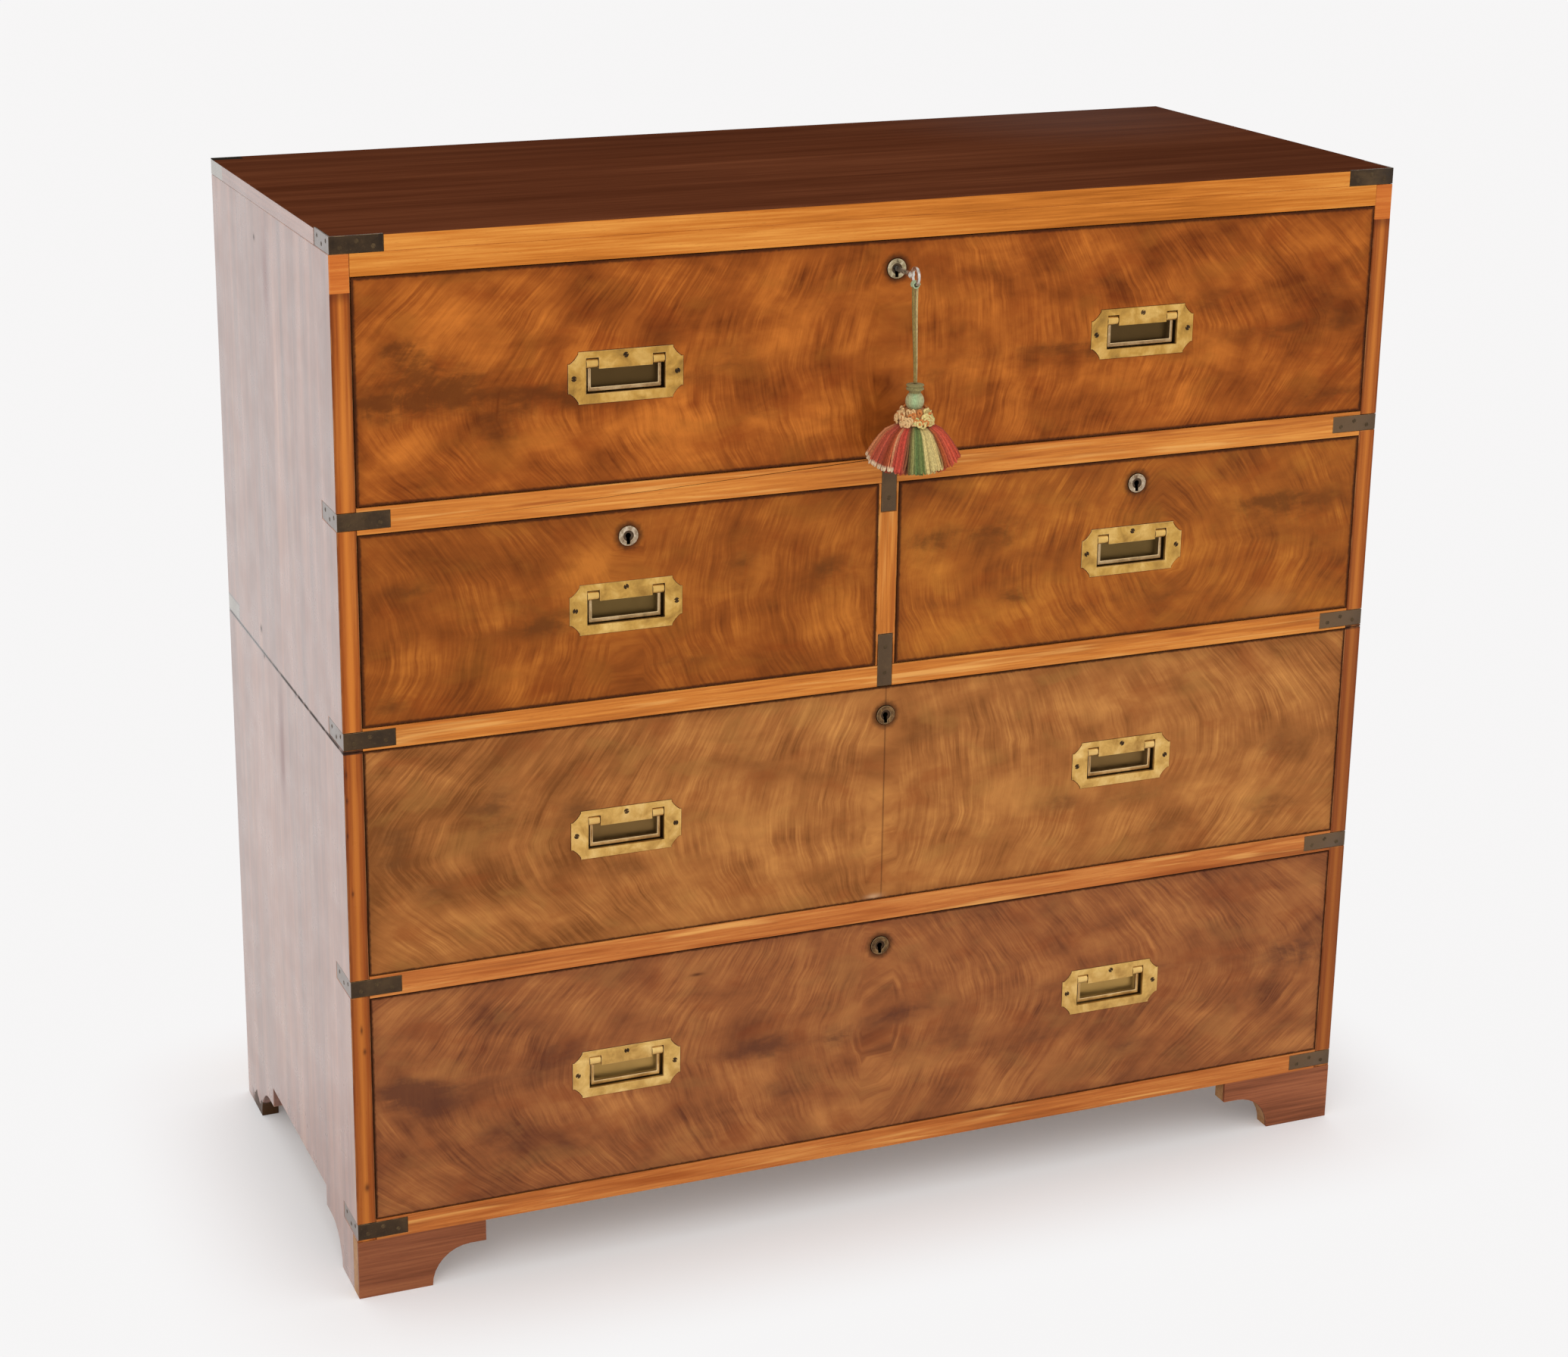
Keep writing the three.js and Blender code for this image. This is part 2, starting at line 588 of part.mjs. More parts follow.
function tail(x0, x1, middle, clearance) {
  const tip = FRONT_THICKNESS - TAIL_LENGTH - clearance;
  const root = FRONT_THICKNESS + BOX_SIDE_THICKNESS;
  const slope = TAIL_SLOPE_SHARE;
  const tipHalf = TAIL_WIDTH / 2 + clearance;
  const rootHalf = tipHalf - slope * (root - tip);
  const profile = outlineOf([
    [tip, middle - tipHalf], [root, middle - rootHalf], [root, middle + rootHalf], [tip, middle + tipHalf],
  ]);
  return sideSlab(profile, x0, x1);
}

function drawerFront({ left, right, bottom, top, handles, lock }) {
  const half = (right - left) / 2;
  const boxBottom = bottom + RUNNING_GAP;
  const board = block(-half, half, 0, FRONT_THICKNESS, bottom + DRAWER_GAP, top - DRAWER_GAP);
  const boxHeight = top - bottom - BOX_DROP;
  const inner = half - BOX_SIDE_THICKNESS - SEAM;
  const sockets = tailPlaces(boxHeight).flatMap((middle) => [
    tail(inner, half + OVERRUN, boxBottom + middle, SEAM),
    tail(-half - OVERRUN, -inner, boxBottom + middle, SEAM),
  ]);
  const bottomLevel = boxBottom + BOX_BOTTOM_RISE;
  const grooveHalf = half - BOX_SIDE_THICKNESS / 2 + SEAM;
  const grooveTop = bottomLevel + BOX_BOTTOM_THICKNESS + SEAM;
  const groove = block(
    -grooveHalf, grooveHalf, FRONT_THICKNESS - BOTTOM_TONGUE - SEAM, FRONT_THICKNESS + OVERRUN,
    bottomLevel - SEAM, grooveTop,
  );
  const middle = (left + right) / 2;
  const handlePockets = handles.map(([x, z]) => handlePocket().translate([x - middle, 0, z]));
  const lockHole = lockPocket(top - DRAWER_GAP - lock[1]).translate([lock[0] - middle, 0, lock[1]]);
  return cut(board, ...sockets, groove, ...handlePockets, lockHole);
}

function drawerBox({ left, right, bottom, top }) {
  const half = (right - left) / 2;
  const inner = half - BOX_SIDE_THICKNESS;
  const boxBottom = bottom + RUNNING_GAP;
  const boxHeight = top - bottom - BOX_DROP;
  const boxTop = boxBottom + boxHeight;
  const front = FRONT_THICKNESS + SEAM;
  const sideBoard = block(inner, half, front, boxDepth, boxBottom, boxTop);
  const tails = tailPlaces(boxHeight).map((middle) => tail(inner, half, boxBottom + middle, 0));
  const rightSide = join(sideBoard, ...tails);
  const bottomLevel = boxBottom + BOX_BOTTOM_RISE;
  const bottomTop = bottomLevel + BOX_BOTTOM_THICKNESS;
  const rearFace = boxDepth - BOX_BACK_THICKNESS;
  const housed = half - BOX_SIDE_THICKNESS / 2;
  const rear = block(-housed, housed, rearFace, boxDepth, bottomLevel, boxTop - BACK_DROP);
  const panel = block(-housed, housed, FRONT_THICKNESS - BOTTOM_TONGUE, boxDepth, bottomLevel, bottomTop);
  return join(rightSide, rightSide.mirror([1, 0, 0]), rear, panel);
}

// Openings of the five drawers, with their handles and locks
const wideLeft = -innerHalf + DRAWER_GAP;
const wideRight = innerHalf - DRAWER_GAP;
const smallInner = DIVIDER_THICKNESS / 2 + DRAWER_GAP;
const sideLeft = { left: wideLeft, right: -smallInner };
const sideRight = { left: smallInner, right: wideRight };
const wide = { left: wideLeft, right: wideRight };

// One drawer's edges with its handles and its lock; a handle sits at mid height unless it is dropped
// Each lock stands a little right of the middle
function drawerPlan(span, bottom, top, handlesX, middle, lockDrop, handleDrop = 0) {
  const handleHeight = (bottom + top) / 2 - handleDrop;
  const handles = handlesX.map((x) => [x, handleHeight]);
  return { ...span, bottom, top, handles, lock: [middle + LOCK_OFFSET, top - DRAWER_GAP - lockDrop] };
}

function smallPlan(span, middle) {
  return drawerPlan(
    span, splitRailTop, upperRailBottom, [middle], middle, SMALL_LOCK_DROP, SMALL_HANDLE_DROP,
  );
}

const both = [-HANDLE_SPACING, HANDLE_SPACING];
const [lefts, rights] = both;
const drawers = {
  first: drawerPlan(wide, upperRailTop, topRailBottom, both, 0, FIRST_LOCK_DROP, FIRST_HANDLE_DROP),
  second_left: smallPlan(sideLeft, lefts),
  second_right: smallPlan(sideRight, rights),
  third: drawerPlan(wide, lowerRailTop, split, both, 0, THIRD_LOCK_DROP),
  fourth: drawerPlan(wide, bottomRailTop, lowerRailBottom, both, 0, FOURTH_LOCK_DROP),
};

function placeHandle(name, x, z, parent) {
  const handle = new THREE.Group();
  handle.position.set(x, 0, z);
  parent.add(handle);
  place(`${name}_plate`, handlePlate(), brass, handle);
  const swing = place(`${name}_bail`, bail(), brass, handle);
  swing.position.set(0, pivotDepth, pivotHeight);
}

function placeDrawer(name, drawer) {
  const middle = (drawer.left + drawer.right) / 2;
  const front = place(`${name}_drawer_front`, drawerFront(drawer), veneer);
  front.position.x = middle;
  const box = place(`${name}_drawer_box`, drawerBox(drawer), plainWood);
  box.position.x = middle;
  const [lockX, lockZ] = drawer.lock;
  const edgeHeight = drawer.top - DRAWER_GAP - lockZ;
  const lock = place(`${name}_lock`, lockSolid(edgeHeight, name === "first"), brass);
  lock.position.set(lockX, 0, lockZ);
  const names = drawer.handles.length > 1 ? ["left_", "right_"] : [""];
  drawer.handles.forEach(([x, z], index) => placeHandle(`${name}_${names[index]}handle`, x, z, chest));
}

// The first lock's bolt, drawn down; the key throws it up into the rail's mortise
const [keyAcross, keyHeight] = drawers.first.lock;

function lockBolt() {
  const half = BOLT_WIDTH / 2;
  const top = FIRST_LOCK_DROP - SEAM;
  return block(-half, half, boltFront, boltBack, top - BOLT_HEIGHT, top);
}

// Key: bit, shank, collar and oval bow, about its own axis
function key() {
  const entry = lockFront + LOCK_WALL + SEAM;
  const bitBack = entry + KEY_BIT_WIDTH;
  const bowMiddle = BOW_LENGTH / 2 - KEY_REACH;
  const bowFront = BOW_LENGTH - KEY_REACH;
  const shank = barAlongY(KEY_SHANK_RADIUS, 0, bowFront - BOW_WIRE / 2, bitBack, 0, KEY_SIDES);
  const collar = barAlongY(COLLAR_RADIUS, 0, bowFront, bowFront + COLLAR_LENGTH, 0, KEY_SIDES);
  const bitHalf = KEY_BIT_THICKNESS / 2;
  const bit = block(-bitHalf, bitHalf, entry, bitBack, -KEY_BIT_LENGTH, 0);
  const oval = new THREE.Shape().absellipse(bowMiddle, 0, BOW_LENGTH / 2, BOW_HEIGHT / 2, 0, 2 * Math.PI);
  const eyeLength = BOW_LENGTH / 2 - BOW_WIRE;
  const eyeHeight = BOW_HEIGHT / 2 - BOW_WIRE;
  oval.holes.push(new THREE.Path().absellipse(bowMiddle, 0, eyeLength, eyeHeight, 0, 2 * Math.PI));
  const bow = sideSlab(oval, -BOW_THICKNESS / 2, BOW_THICKNESS / 2, BOW_SEGMENTS);
  return join(shank, collar, bit, bow);
}

// Cord from the bow's lower edge down to the tassel, which hangs just clear of the drawer front
const cordRoute = [
  new THREE.Vector3(2, -40, 947.7),
  new THREE.Vector3(2.1, -40.9, 918),
  new THREE.Vector3(2.4, -42.9, 888),
  new THREE.Vector3(2.6, -44, 858.9),
];

function cord() {
  const section = new THREE.Shape().absellipse(0, 0, CORD_RADIUS, CORD_RADIUS, 0, 2 * Math.PI);
  const route = new THREE.CatmullRomCurve3(cordRoute);
  const curveSegments = CORD_SIDES / 2;
  const settings = { steps: CORD_STEPS, extrudePath: route, curveSegments, bevelEnabled: false };
  return toSolid(new THREE.ExtrudeGeometry(section, settings));
}

// Tassel: knot, bulb, ruff and a flared skirt in folds, as one turned form
// Each row: how far down the tassel, and a radius as a share of one of its named radii
const tasselShares = [
  [0, CORD_RADIUS, 0],
  [0.01, CORD_RADIUS, 1],
  [0.03, COLLAR_KNOT_RADIUS, 1],
  [0.09, COLLAR_KNOT_RADIUS, 1],
  [0.115, BULB_RADIUS, 0.62],
  [0.15, BULB_RADIUS, 0.75],
  [0.19, BULB_RADIUS, 1],
  [0.26, BULB_RADIUS, 1],
  [0.29, RUFF_RADIUS, 0.75],
  [0.35, RUFF_RADIUS, 1],
  [0.45, RUFF_RADIUS, 0.98],
  [0.54, SKIRT_RADIUS, 0.66],
  [0.64, SKIRT_RADIUS, 0.88],
  [0.76, SKIRT_RADIUS, 1],
  [0.89, SKIRT_RADIUS, 0.98],
  [1, SKIRT_RADIUS, 0.9],
  [1, SKIRT_RADIUS, 0],
];

function tassel() {
  const drop = TASSEL_NECK_HEIGHT - TASSEL_BOTTOM_HEIGHT;
  const profile = tasselShares.map(([down, radius, share]) =>
    new THREE.Vector2(radius * share, -drop * down));
  const form = new THREE.LatheGeometry(profile.reverse(), TASSEL_SIDES).rotateX(Math.PI / 2);
  const position = form.attributes.position;
  for (let index = 0; index < position.count; index += 1) {
    const x = position.getX(index);
    const y = position.getY(index);
    const spread = Math.max(0, (Math.hypot(x, y) - RUFF_RADIUS) / SKIRT_RADIUS);
    const wave = 1 + SKIRT_WAVE_SHARE * spread * Math.cos(SKIRT_FOLDS * Math.atan2(y, x));
    position.setX(index, x * wave);
    position.setY(index, y * wave * SKIRT_DEPTH_SHARE);
  }
  return toSolid(form);
}

// Assembly
place("top_board", topBoard(), topWood);
place("upper_left_side", upperSide(-1), sideWood);
place("upper_right_side", upperSide(1), sideWood);
place("upper_back", backBoard(split + SEAM, topUnderside - SEAM), plainWood);
place("upper_mid_shelf", upperMidShelf(), railWood);
place("upper_divider", upperDivider(), railWood);
place("upper_bottom", upperBottom(), railWood);
place("lower_left_side", lowerSide(-1), sideWood);
place("lower_right_side", lowerSide(1), sideWood);
place("lower_back", lowerBack(), plainWood);
place("lower_top_board", lowerTopBoard(), plainWood);
place("lower_mid_shelf", lowerMidShelf(), railWood);
place("lower_bottom", lowerBottom(), railWood);

for (const level of Object.keys(strapLevels)) {
  place(`${level}_left_strap`, strapSolid(level, -1, 0), agedBrass);
  place(`${level}_right_strap`, strapSolid(level, 1, 0), agedBrass);
}
for (const name of Object.keys(dividerStraps)) {
  place(name, dividerStrapSolid(name, 0), agedBrass);
}
for (const [name, drawer] of Object.entries(drawers)) {
  placeDrawer(name, drawer);
}

place("first_lock_bolt", lockBolt(), brass).position.set(keyAcross, 0, keyHeight);
place("key", key(), steel).position.set(keyAcross, 0, keyHeight);
place("tassel_cord", cord(), cordYarn);
place("tassel", tassel(), tasselYarn).position.set(TASSEL_ACROSS, -TASSEL_OUT, TASSEL_NECK_HEIGHT);

export default chest;
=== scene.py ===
"""Campaign chest in two stacked halves, with a tasselled key in the top lock.

The boards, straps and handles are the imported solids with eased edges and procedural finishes.
The cord, the tassel and the screws are surfaces worked out with numpy.
Lengths are in metres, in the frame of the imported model: +Z up, the front faces -Y.
"""

import json
import math
from functools import partialmethod

import bmesh
import bpy
import numpy as np
from mathutils import Matrix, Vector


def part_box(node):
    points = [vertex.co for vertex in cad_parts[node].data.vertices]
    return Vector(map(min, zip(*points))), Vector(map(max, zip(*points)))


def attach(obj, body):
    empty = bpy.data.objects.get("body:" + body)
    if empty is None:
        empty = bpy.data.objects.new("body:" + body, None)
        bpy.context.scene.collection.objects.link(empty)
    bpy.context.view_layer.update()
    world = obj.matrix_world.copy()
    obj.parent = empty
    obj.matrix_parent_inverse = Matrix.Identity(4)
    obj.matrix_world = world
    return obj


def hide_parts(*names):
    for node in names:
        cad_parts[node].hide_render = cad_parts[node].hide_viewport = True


bl_info = {
    "name": "Campaign chest",
    "version": (1, 0, 0),
    "blender": (4, 5, 0),
    "location": "3D View > Sidebar > Campaign chest",
    "description": "Dresses a packed campaign chest: veneer, brass, key, cord and tassel",
    "category": "Add Mesh",
}

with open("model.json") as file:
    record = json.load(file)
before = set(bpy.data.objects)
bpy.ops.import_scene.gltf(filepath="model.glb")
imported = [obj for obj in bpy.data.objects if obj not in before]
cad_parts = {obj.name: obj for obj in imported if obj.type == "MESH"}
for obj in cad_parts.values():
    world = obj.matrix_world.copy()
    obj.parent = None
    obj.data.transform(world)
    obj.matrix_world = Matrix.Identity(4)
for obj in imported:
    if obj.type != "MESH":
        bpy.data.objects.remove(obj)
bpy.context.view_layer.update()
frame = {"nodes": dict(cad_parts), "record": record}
BODY_OF = {
    node: body
    for body, members in frame["record"]["behaviour"]["bodies"].items()
    for node in members
}
NODES = sorted(frame["nodes"])

FRONT_Y = -0.205
BACK_Y = 0.253
HALF_WIDTH = 0.5335
ALONG_X, ALONG_Y, ALONG_Z = 0, 1, 2
DRAWERS = ("first", "second_left", "second_right", "third", "fourth")
ROWS = ("first", "second", "third", "fourth")
HANDLES = [f"{row}_{side}" for row in ROWS for side in ("left", "right")]


def tone(*screen):
    """The linear colour of a screen colour from 0 to 255: ((c + 0.055) / 1.055) ^ 2.4, opaque."""
    shares = np.array(screen) / 255.0
    bright = ((shares + 0.055) / 1.055) ** 2.4
    return (*np.where(shares <= 0.04045, shares / 12.92, bright).tolist(), 1.0)


def tones(*screens):
    """The linear colours of several screen colours."""
    return tuple(tone(*screen) for screen in screens)


# --- meshes


def place_piece(name, mesh, finish, body, slot, *replaced):
    """An object at the origin, riding on a body of the model, in place of the nodes it replaces."""
    mesh.materials.append(finish)
    piece = bpy.data.objects.new(name, mesh)
    bpy.context.scene.collection.objects.link(piece)
    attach(piece, body)
    if replaced:
        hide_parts(*replaced)
    return piece


def new_piece(name, form, body, slot, finish, *replaced):
    """A smooth piece made of a form: its points and faces."""
    points, faces = form
    mesh = bpy.data.meshes.new(name)
    mesh.from_pydata(points.tolist(), [], faces)
    mesh.validate()
    mesh.polygons.foreach_set("use_smooth", np.full(len(mesh.polygons), True))
    return place_piece(name, mesh, finish, body, slot, *replaced)


def ring_faces(rings, around):
    """Quads between closed rings of points: (i, j), (i, j+1), (i+1, j+1), (i+1, j), where j wraps round."""
    i, j = np.meshgrid(np.arange(rings - 1), np.arange(around), indexing="ij")
    j_next = (j + 1) % around
    corners = (i * around + j, i * around + j_next, (i + 1) * around + j_next, (i + 1) * around + j)
    return np.stack(corners, -1).reshape(-1, 4)


def capped_faces(rings, around):
    """The quads between closed rings, and a cap on the first and on the last ring."""
    first, last = list(range(around)), (rings - 1) * around
    return [*ring_faces(rings, around).tolist(), first[::-1], [last + k for k in first]]


def whole_turn(around):
    """Angles round a ring."""
    return np.linspace(0, 2 * math.pi, around, endpoint=False)


def frames_along(paths, reference):
    """Side and lift along paths: side = tangent x reference, lift = side x tangent."""
    tangent = np.gradient(paths, axis=-2)
    tangent /= np.linalg.norm(tangent, axis=-1, keepdims=True)
    side = np.cross(tangent, reference)
    side /= np.linalg.norm(side, axis=-1, keepdims=True)
    return side, np.cross(side, tangent)


def tubes(paths, radius, around, reference=(0.31, 0.83, 0.46)):
    """Closed round tubes along a stack of paths: P(s, t) = path(s) + r (side cos t + lift sin t)."""
    count, steps, _ = paths.shape
    side, lift = frames_along(paths, reference)
    turn = whole_turn(around)[:, None]
    ring = side[:, :, None] * np.cos(turn) + lift[:, :, None] * np.sin(turn)
    points = paths[:, :, None] + radius * ring
    faces = capped_faces(steps, around)
    return joined([(tube, faces) for tube in points.reshape(count, -1, 3)])


def turned(radii, heights, centre, around, ribs=0, depth=0.0, lean=0.0):
    """A turned form about Z: r(h, t) = r(h) (1 + depth cos(ribs t + lean h)), capped, from the top down."""
    radii, heights = np.asarray(radii, float)[:, None], np.asarray(heights, float)[:, None]
    turn = whole_turn(around)[None]
    reach = radii * (1 + depth * np.cos(ribs * turn + lean * heights))
    rise = np.broadcast_to(heights, reach.shape)
    points = np.stack([centre[0] + reach * np.cos(turn), centre[1] + reach * np.sin(turn), rise], -1)
    return points.reshape(-1, 3), [face[::-1] for face in capped_faces(len(radii), around)]


def joined(parts):
    """Points and faces of several parts in one list; face numbers are shifted by the points before."""
    points, faces, first = [], [], 0
    for part_points, part_faces in parts:
        points.append(np.asarray(part_points))
        faces += [[corner + first for corner in face] for face in part_faces]
        first += len(part_points)
    return np.concatenate(points), faces


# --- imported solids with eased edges

MERGE = 1e-5
SHARP = math.radians(35)
SQUARE = 0.008
CLEAR_OF_CORNERS = 0.0009


def eased_solid(node, width, steps):
    """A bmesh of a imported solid: doubles merged, flat faces joined, sharp edges rounded by width.

    The rounded strips get 1 in the corner layer "edge", all other faces 0.
    """
    form = bmesh.new()
    form.from_mesh(frame["nodes"][node].data)
    bmesh.ops.remove_doubles(form, verts=form.verts, dist=MERGE)
    bmesh.ops.dissolve_limit(form, angle_limit=math.radians(1), verts=form.verts[:], edges=form.edges[:])
    edges = [e for e in form.edges if len(e.link_faces) == 2 and e.calc_face_angle(0) > SHARP]
    wear = form.loops.layers.float.new("edge")
    if width and edges:
        made = bmesh.ops.bevel(
            form, geom=edges, offset=width, offset_type="OFFSET", segments=steps,
            profile=0.5, affect="EDGES", clamp_overlap=True,
        )
        for face in made["faces"]:
            for loop in face.loops:
                loop[wear] = 1.0
    return form


def cut_in_squares(form, low, high):
    """Cuts a front into squares, so that a pattern can be laid on its points."""
    corners = np.array([v.co for v in form.verts])
    for axis in (ALONG_X, ALONG_Z):
        levels = np.arange(low[axis] + SQUARE / 2, high[axis], SQUARE)
        taken = np.unique(corners[:, axis].round(5))
        gap = np.abs(levels[:, None] - taken[None]).min(1)
        normal = np.eye(3)[axis]
        for level in levels[gap > CLEAR_OF_CORNERS]:
            geometry = form.verts[:] + form.edges[:] + form.faces[:]
            bmesh.ops.bisect_plane(form, geom=geometry, dist=1e-6, plane_co=normal * level, plane_no=normal)


def dress(node, finish, slot, width, steps=2, flat=False, name=None, squares=None):
    """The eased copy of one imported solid, with its finish, in that solid's place.

    On flat boards only the eased strips are shaded smooth. With a box of squares, the front is cut up.
    """
    form = eased_solid(node, width, steps)
    if squares:
        cut_in_squares(form, *squares)
    wear = form.loops.layers.float["edge"]
    for face in form.faces:
        face.smooth = not flat or face.loops[0][wear] > 0.5
    name = name or f"{node}_dressed"
    mesh = bpy.data.meshes.new(name)
    form.to_mesh(mesh)
    form.free()
    if not flat:
        mesh.set_sharp_from_angle(angle=math.radians(40))
    return place_piece(name, mesh, finish, BODY_OF[node], slot, node)


def points_of(mesh):
    """The mesh's points as an array of rows."""
    flat = np.empty(len(mesh.vertices) * 3, np.float32)
    mesh.vertices.foreach_get("co", flat)
    return flat.reshape(-1, 3).astype(float)


def put_number(mesh, name, values):
    """A number for each point, stored under a name that a finish can read."""
    layer = mesh.attributes.new(name, "FLOAT", "POINT")
    layer.data.foreach_set("value", np.asarray(values, np.float32))


def put_figure(mesh, across, along):
    """A UV map named figure: U runs across the wood's streaks and V along them."""
    corners = np.empty(len(mesh.loops), np.int32)
    mesh.loops.foreach_get("vertex_index", corners)
    layer = mesh.uv_layers.new(name="figure")
    pairs = np.stack([across[corners], along[corners]], -1).astype(np.float32)
    layer.data.foreach_set("uv", pairs.ravel())


# --- finishes


class Nodes:
    """Shader nodes in the making: each method adds nodes and gives back their output."""

    def __init__(self, owner):
        owner.use_nodes = True
        self.tree = owner.node_tree

    def feed(self, socket, value):
        """Links an output to a socket, or writes a constant into it."""
        if isinstance(value, bpy.types.NodeSocket):
            self.tree.links.new(value, socket)
        else:
            socket.default_value = value

    def node(self, kind, inputs=(), **settings):
        """A shader node with its settings and its inputs, given by place or by name."""
        made = self.tree.nodes.new(kind)
        for key, value in settings.items():
            setattr(made, key, value)
        for key, value in inputs.items() if isinstance(inputs, dict) else enumerate(inputs):
            self.feed(made.inputs[key], value)
        return made

    def math(self, operation, *numbers):
        """One sum on numbers."""
        return self.node("ShaderNodeMath", numbers, operation=operation).outputs[0]

    def chain(self, operation, first, *others):
        """A sum on two numbers, then on its outcome and the next number."""
        for number in others:
            first = self.math(operation, first, number)
        return first

    plus = partialmethod(chain, "ADD")
    less = partialmethod(chain, "SUBTRACT")
    times = partialmethod(chain, "MULTIPLY")
    least = partialmethod(chain, "MINIMUM")
    most = partialmethod(chain, "MAXIMUM")
    line = partialmethod(math, "MULTIPLY_ADD")
    size = partialmethod(math, "ABSOLUTE")


class Finish(Nodes):
    """A procedural finish of the surface, in the coordinates of the model's frame."""

    def __init__(self, name, tint=(1, 1, 1), **constants):
        self.tint = (*tint, 1.0)
        self.material = bpy.data.materials.new(name)
        super().__init__(self.material)
        self.surface = self.tree.nodes["Principled BSDF"]
        self.place = self.node("ShaderNodeTexCoord").outputs["Object"]
        for key, value in constants.items():
            self.put(key.replace("_", " "), value)

    def put(self, name, value):
        """Feeds one input of the surface."""
        self.feed(self.surface.inputs[name], value)

    def tinted(self, screens):
        """Linear colours of screen colours, times the finish's tint."""
        return [tuple(part * share for part, share in zip(colour, self.tint)) for colour in tones(*screens)]

    def axis(self, index):
        """One coordinate of the point."""
        return self.node("ShaderNodeSeparateXYZ", [self.place]).outputs[index]

    x = partialmethod(axis, 0)
    y = partialmethod(axis, 1)
    z = partialmethod(axis, 2)

    def distance(self, point):
        """The distance to a point."""
        return self.node("ShaderNodeVectorMath", [self.place, point], operation="DISTANCE").outputs[1]

    def attribute(self, name):
        """A number stored on the piece."""
        return self.node("ShaderNodeAttribute", attribute_name=name).outputs["Fac"]

    def cloud(self, scale, detail, rough, twist=0.0, vector=None, shift=(0, 0, 0)):
        """Soft noise from 0 to 1 on the coordinates, shifted and times one scale or one for each axis."""
        scales = scale if isinstance(scale, tuple) else (scale,) * 3
        moved = self.node("ShaderNodeMapping", [vector or self.place, shift, (0, 0, 0), scales]).outputs[0]
        inputs = {"Vector": moved, "Scale": 1.0, "Detail": detail, "Roughness": rough, "Distortion": twist}
        return self.node("ShaderNodeTexNoise", inputs).outputs[0]

    def step(self, value, low, high, to_low=0.0, to_high=1.0):
        """A smooth step of a number from one level to another."""
        values = [value, low, high, to_low, to_high]
        return self.node("ShaderNodeMapRange", values, interpolation_type="SMOOTHSTEP").outputs[0]

    def band(self, value, centre, half):
        """1 within half of a level, fading to 0 at twice that."""
        return self.step(self.size(self.less(value, centre)), half * 2, half)

    def spot(self, axis, across, z, reach, reach_z):
        """A soft spot on a side or front: exp(-((a - ca) / ra)^2 - ((z - cz) / rz)^2)."""
        across = self.line(self.axis(axis), 1 / reach, -across / reach)
        upward = self.line(self.z(), 1 / reach_z, -z / reach_z)
        square = self.line(across, across, self.times(upward, upward))
        return self.math("EXPONENT", self.times(square, -1.0))

    def mix(self, factor, first, second):
        """A mix of two colours."""
        return self.node("ShaderNodeMix", {0: factor, 6: first, 7: second}, data_type="RGBA").outputs[2]

    def over(self, colour, *layers):
        """The colour under layers, each a share and a screen colour, a linear colour or an output."""
        for share, layer in layers:
            if isinstance(layer, tuple) and len(layer) == 3:
                layer = tone(*layer)
            colour = self.mix(share, colour, layer)
        return colour

    def ramp(self, factor, places, colours):
        """A colour ramp through colours at their places."""
        made = self.node("ShaderNodeValToRGB", [factor])
        stops = made.color_ramp.elements
        for _ in places[2:]:
            stops.new(0.5)
        for stop, place, colour in zip(stops, places, colours):
            stop.position, stop.color = place, colour
        return made.outputs[0]

    def bump(self, height, distance):
        """Relief of a real height in metres."""
        made = self.node("ShaderNodeBump", {"Height": height, "Distance": distance, "Strength": 1.0})
        self.put("Normal", made.outputs[0])

    def finish(self, colour, roughness):
        """Feeds the surface and gives back the material."""
        self.put("Base Color", colour)
        self.put("Roughness", roughness)
        return self.material


# Length and width of what makes up straight-grained wood.
BANDS = (0.45, 0.022)
FIBRES = (0.09, 0.0022)
PORES = (0.009, 0.0007)
CLOUDING = (0.6, 0.12)
RAIL_BANDS = (0.16, 0.007)


def grain_scale(axis, length, width):
    """A scale that makes noise long along one axis: 1/length there and 1/width elsewhere."""
    return tuple(1 / (length if k == axis else width) for k in range(3))


def straight_wood(wood, axis, woods, shift=(0, 0, 0), speck_share=0.35):
    """The colour of straight-grained wood that runs along one axis, and its height for relief."""
    dark, middle, light = wood.tinted(woods)
    bands = wood.cloud(grain_scale(axis, *BANDS), 3, 0.55, 0.35, shift=shift)
    fibres = wood.cloud(grain_scale(axis, *FIBRES), 4, 0.6, 0.1, shift=shift)
    pores = wood.cloud(grain_scale(axis, *PORES), 2, 0.5, shift=shift)
    clouds = wood.cloud(grain_scale(axis, *CLOUDING), 2, 0.5, shift=shift)
    blend = wood.plus(wood.times(bands, 0.62), wood.times(fibres, 0.5))
    blend = wood.plus(blend, wood.line(clouds, 0.3, -0.21))
    colour = wood.ramp(blend, (0.28, 0.5, 0.72), (dark, middle, light))
    speck = wood.times(wood.step(pores, 0.62, 0.74), speck_share)
    return wood.mix(speck, colour, dark), wood.less(wood.times(fibres, 0.5), speck)


def varied(wood, low, high):
    """A roughness that wanders between two levels."""
    return wood.step(wood.cloud(22, 3, 0.6), 0.3, 0.7, low, high)


def plain_finish(name, tint, axis, shift=(0, 0, 0), rear=None):
    """Plain straight-grained wood, as on backs and drawer boxes. Past rear its grain runs across."""
    wood = Finish(name, tint, Specular_IOR_Level=0.25)
    colour, height = straight_wood(wood, axis, PLAIN, shift)
    if rear is not None:
        across, _ = straight_wood(wood, ALONG_X, PLAIN, shift)
        colour = wood.mix(wood.step(wood.y(), rear - 0.0003, rear), colour, across)
    wood.bump(height, 0.00006)
    return wood.finish(colour, varied(wood, 0.5, 0.7))


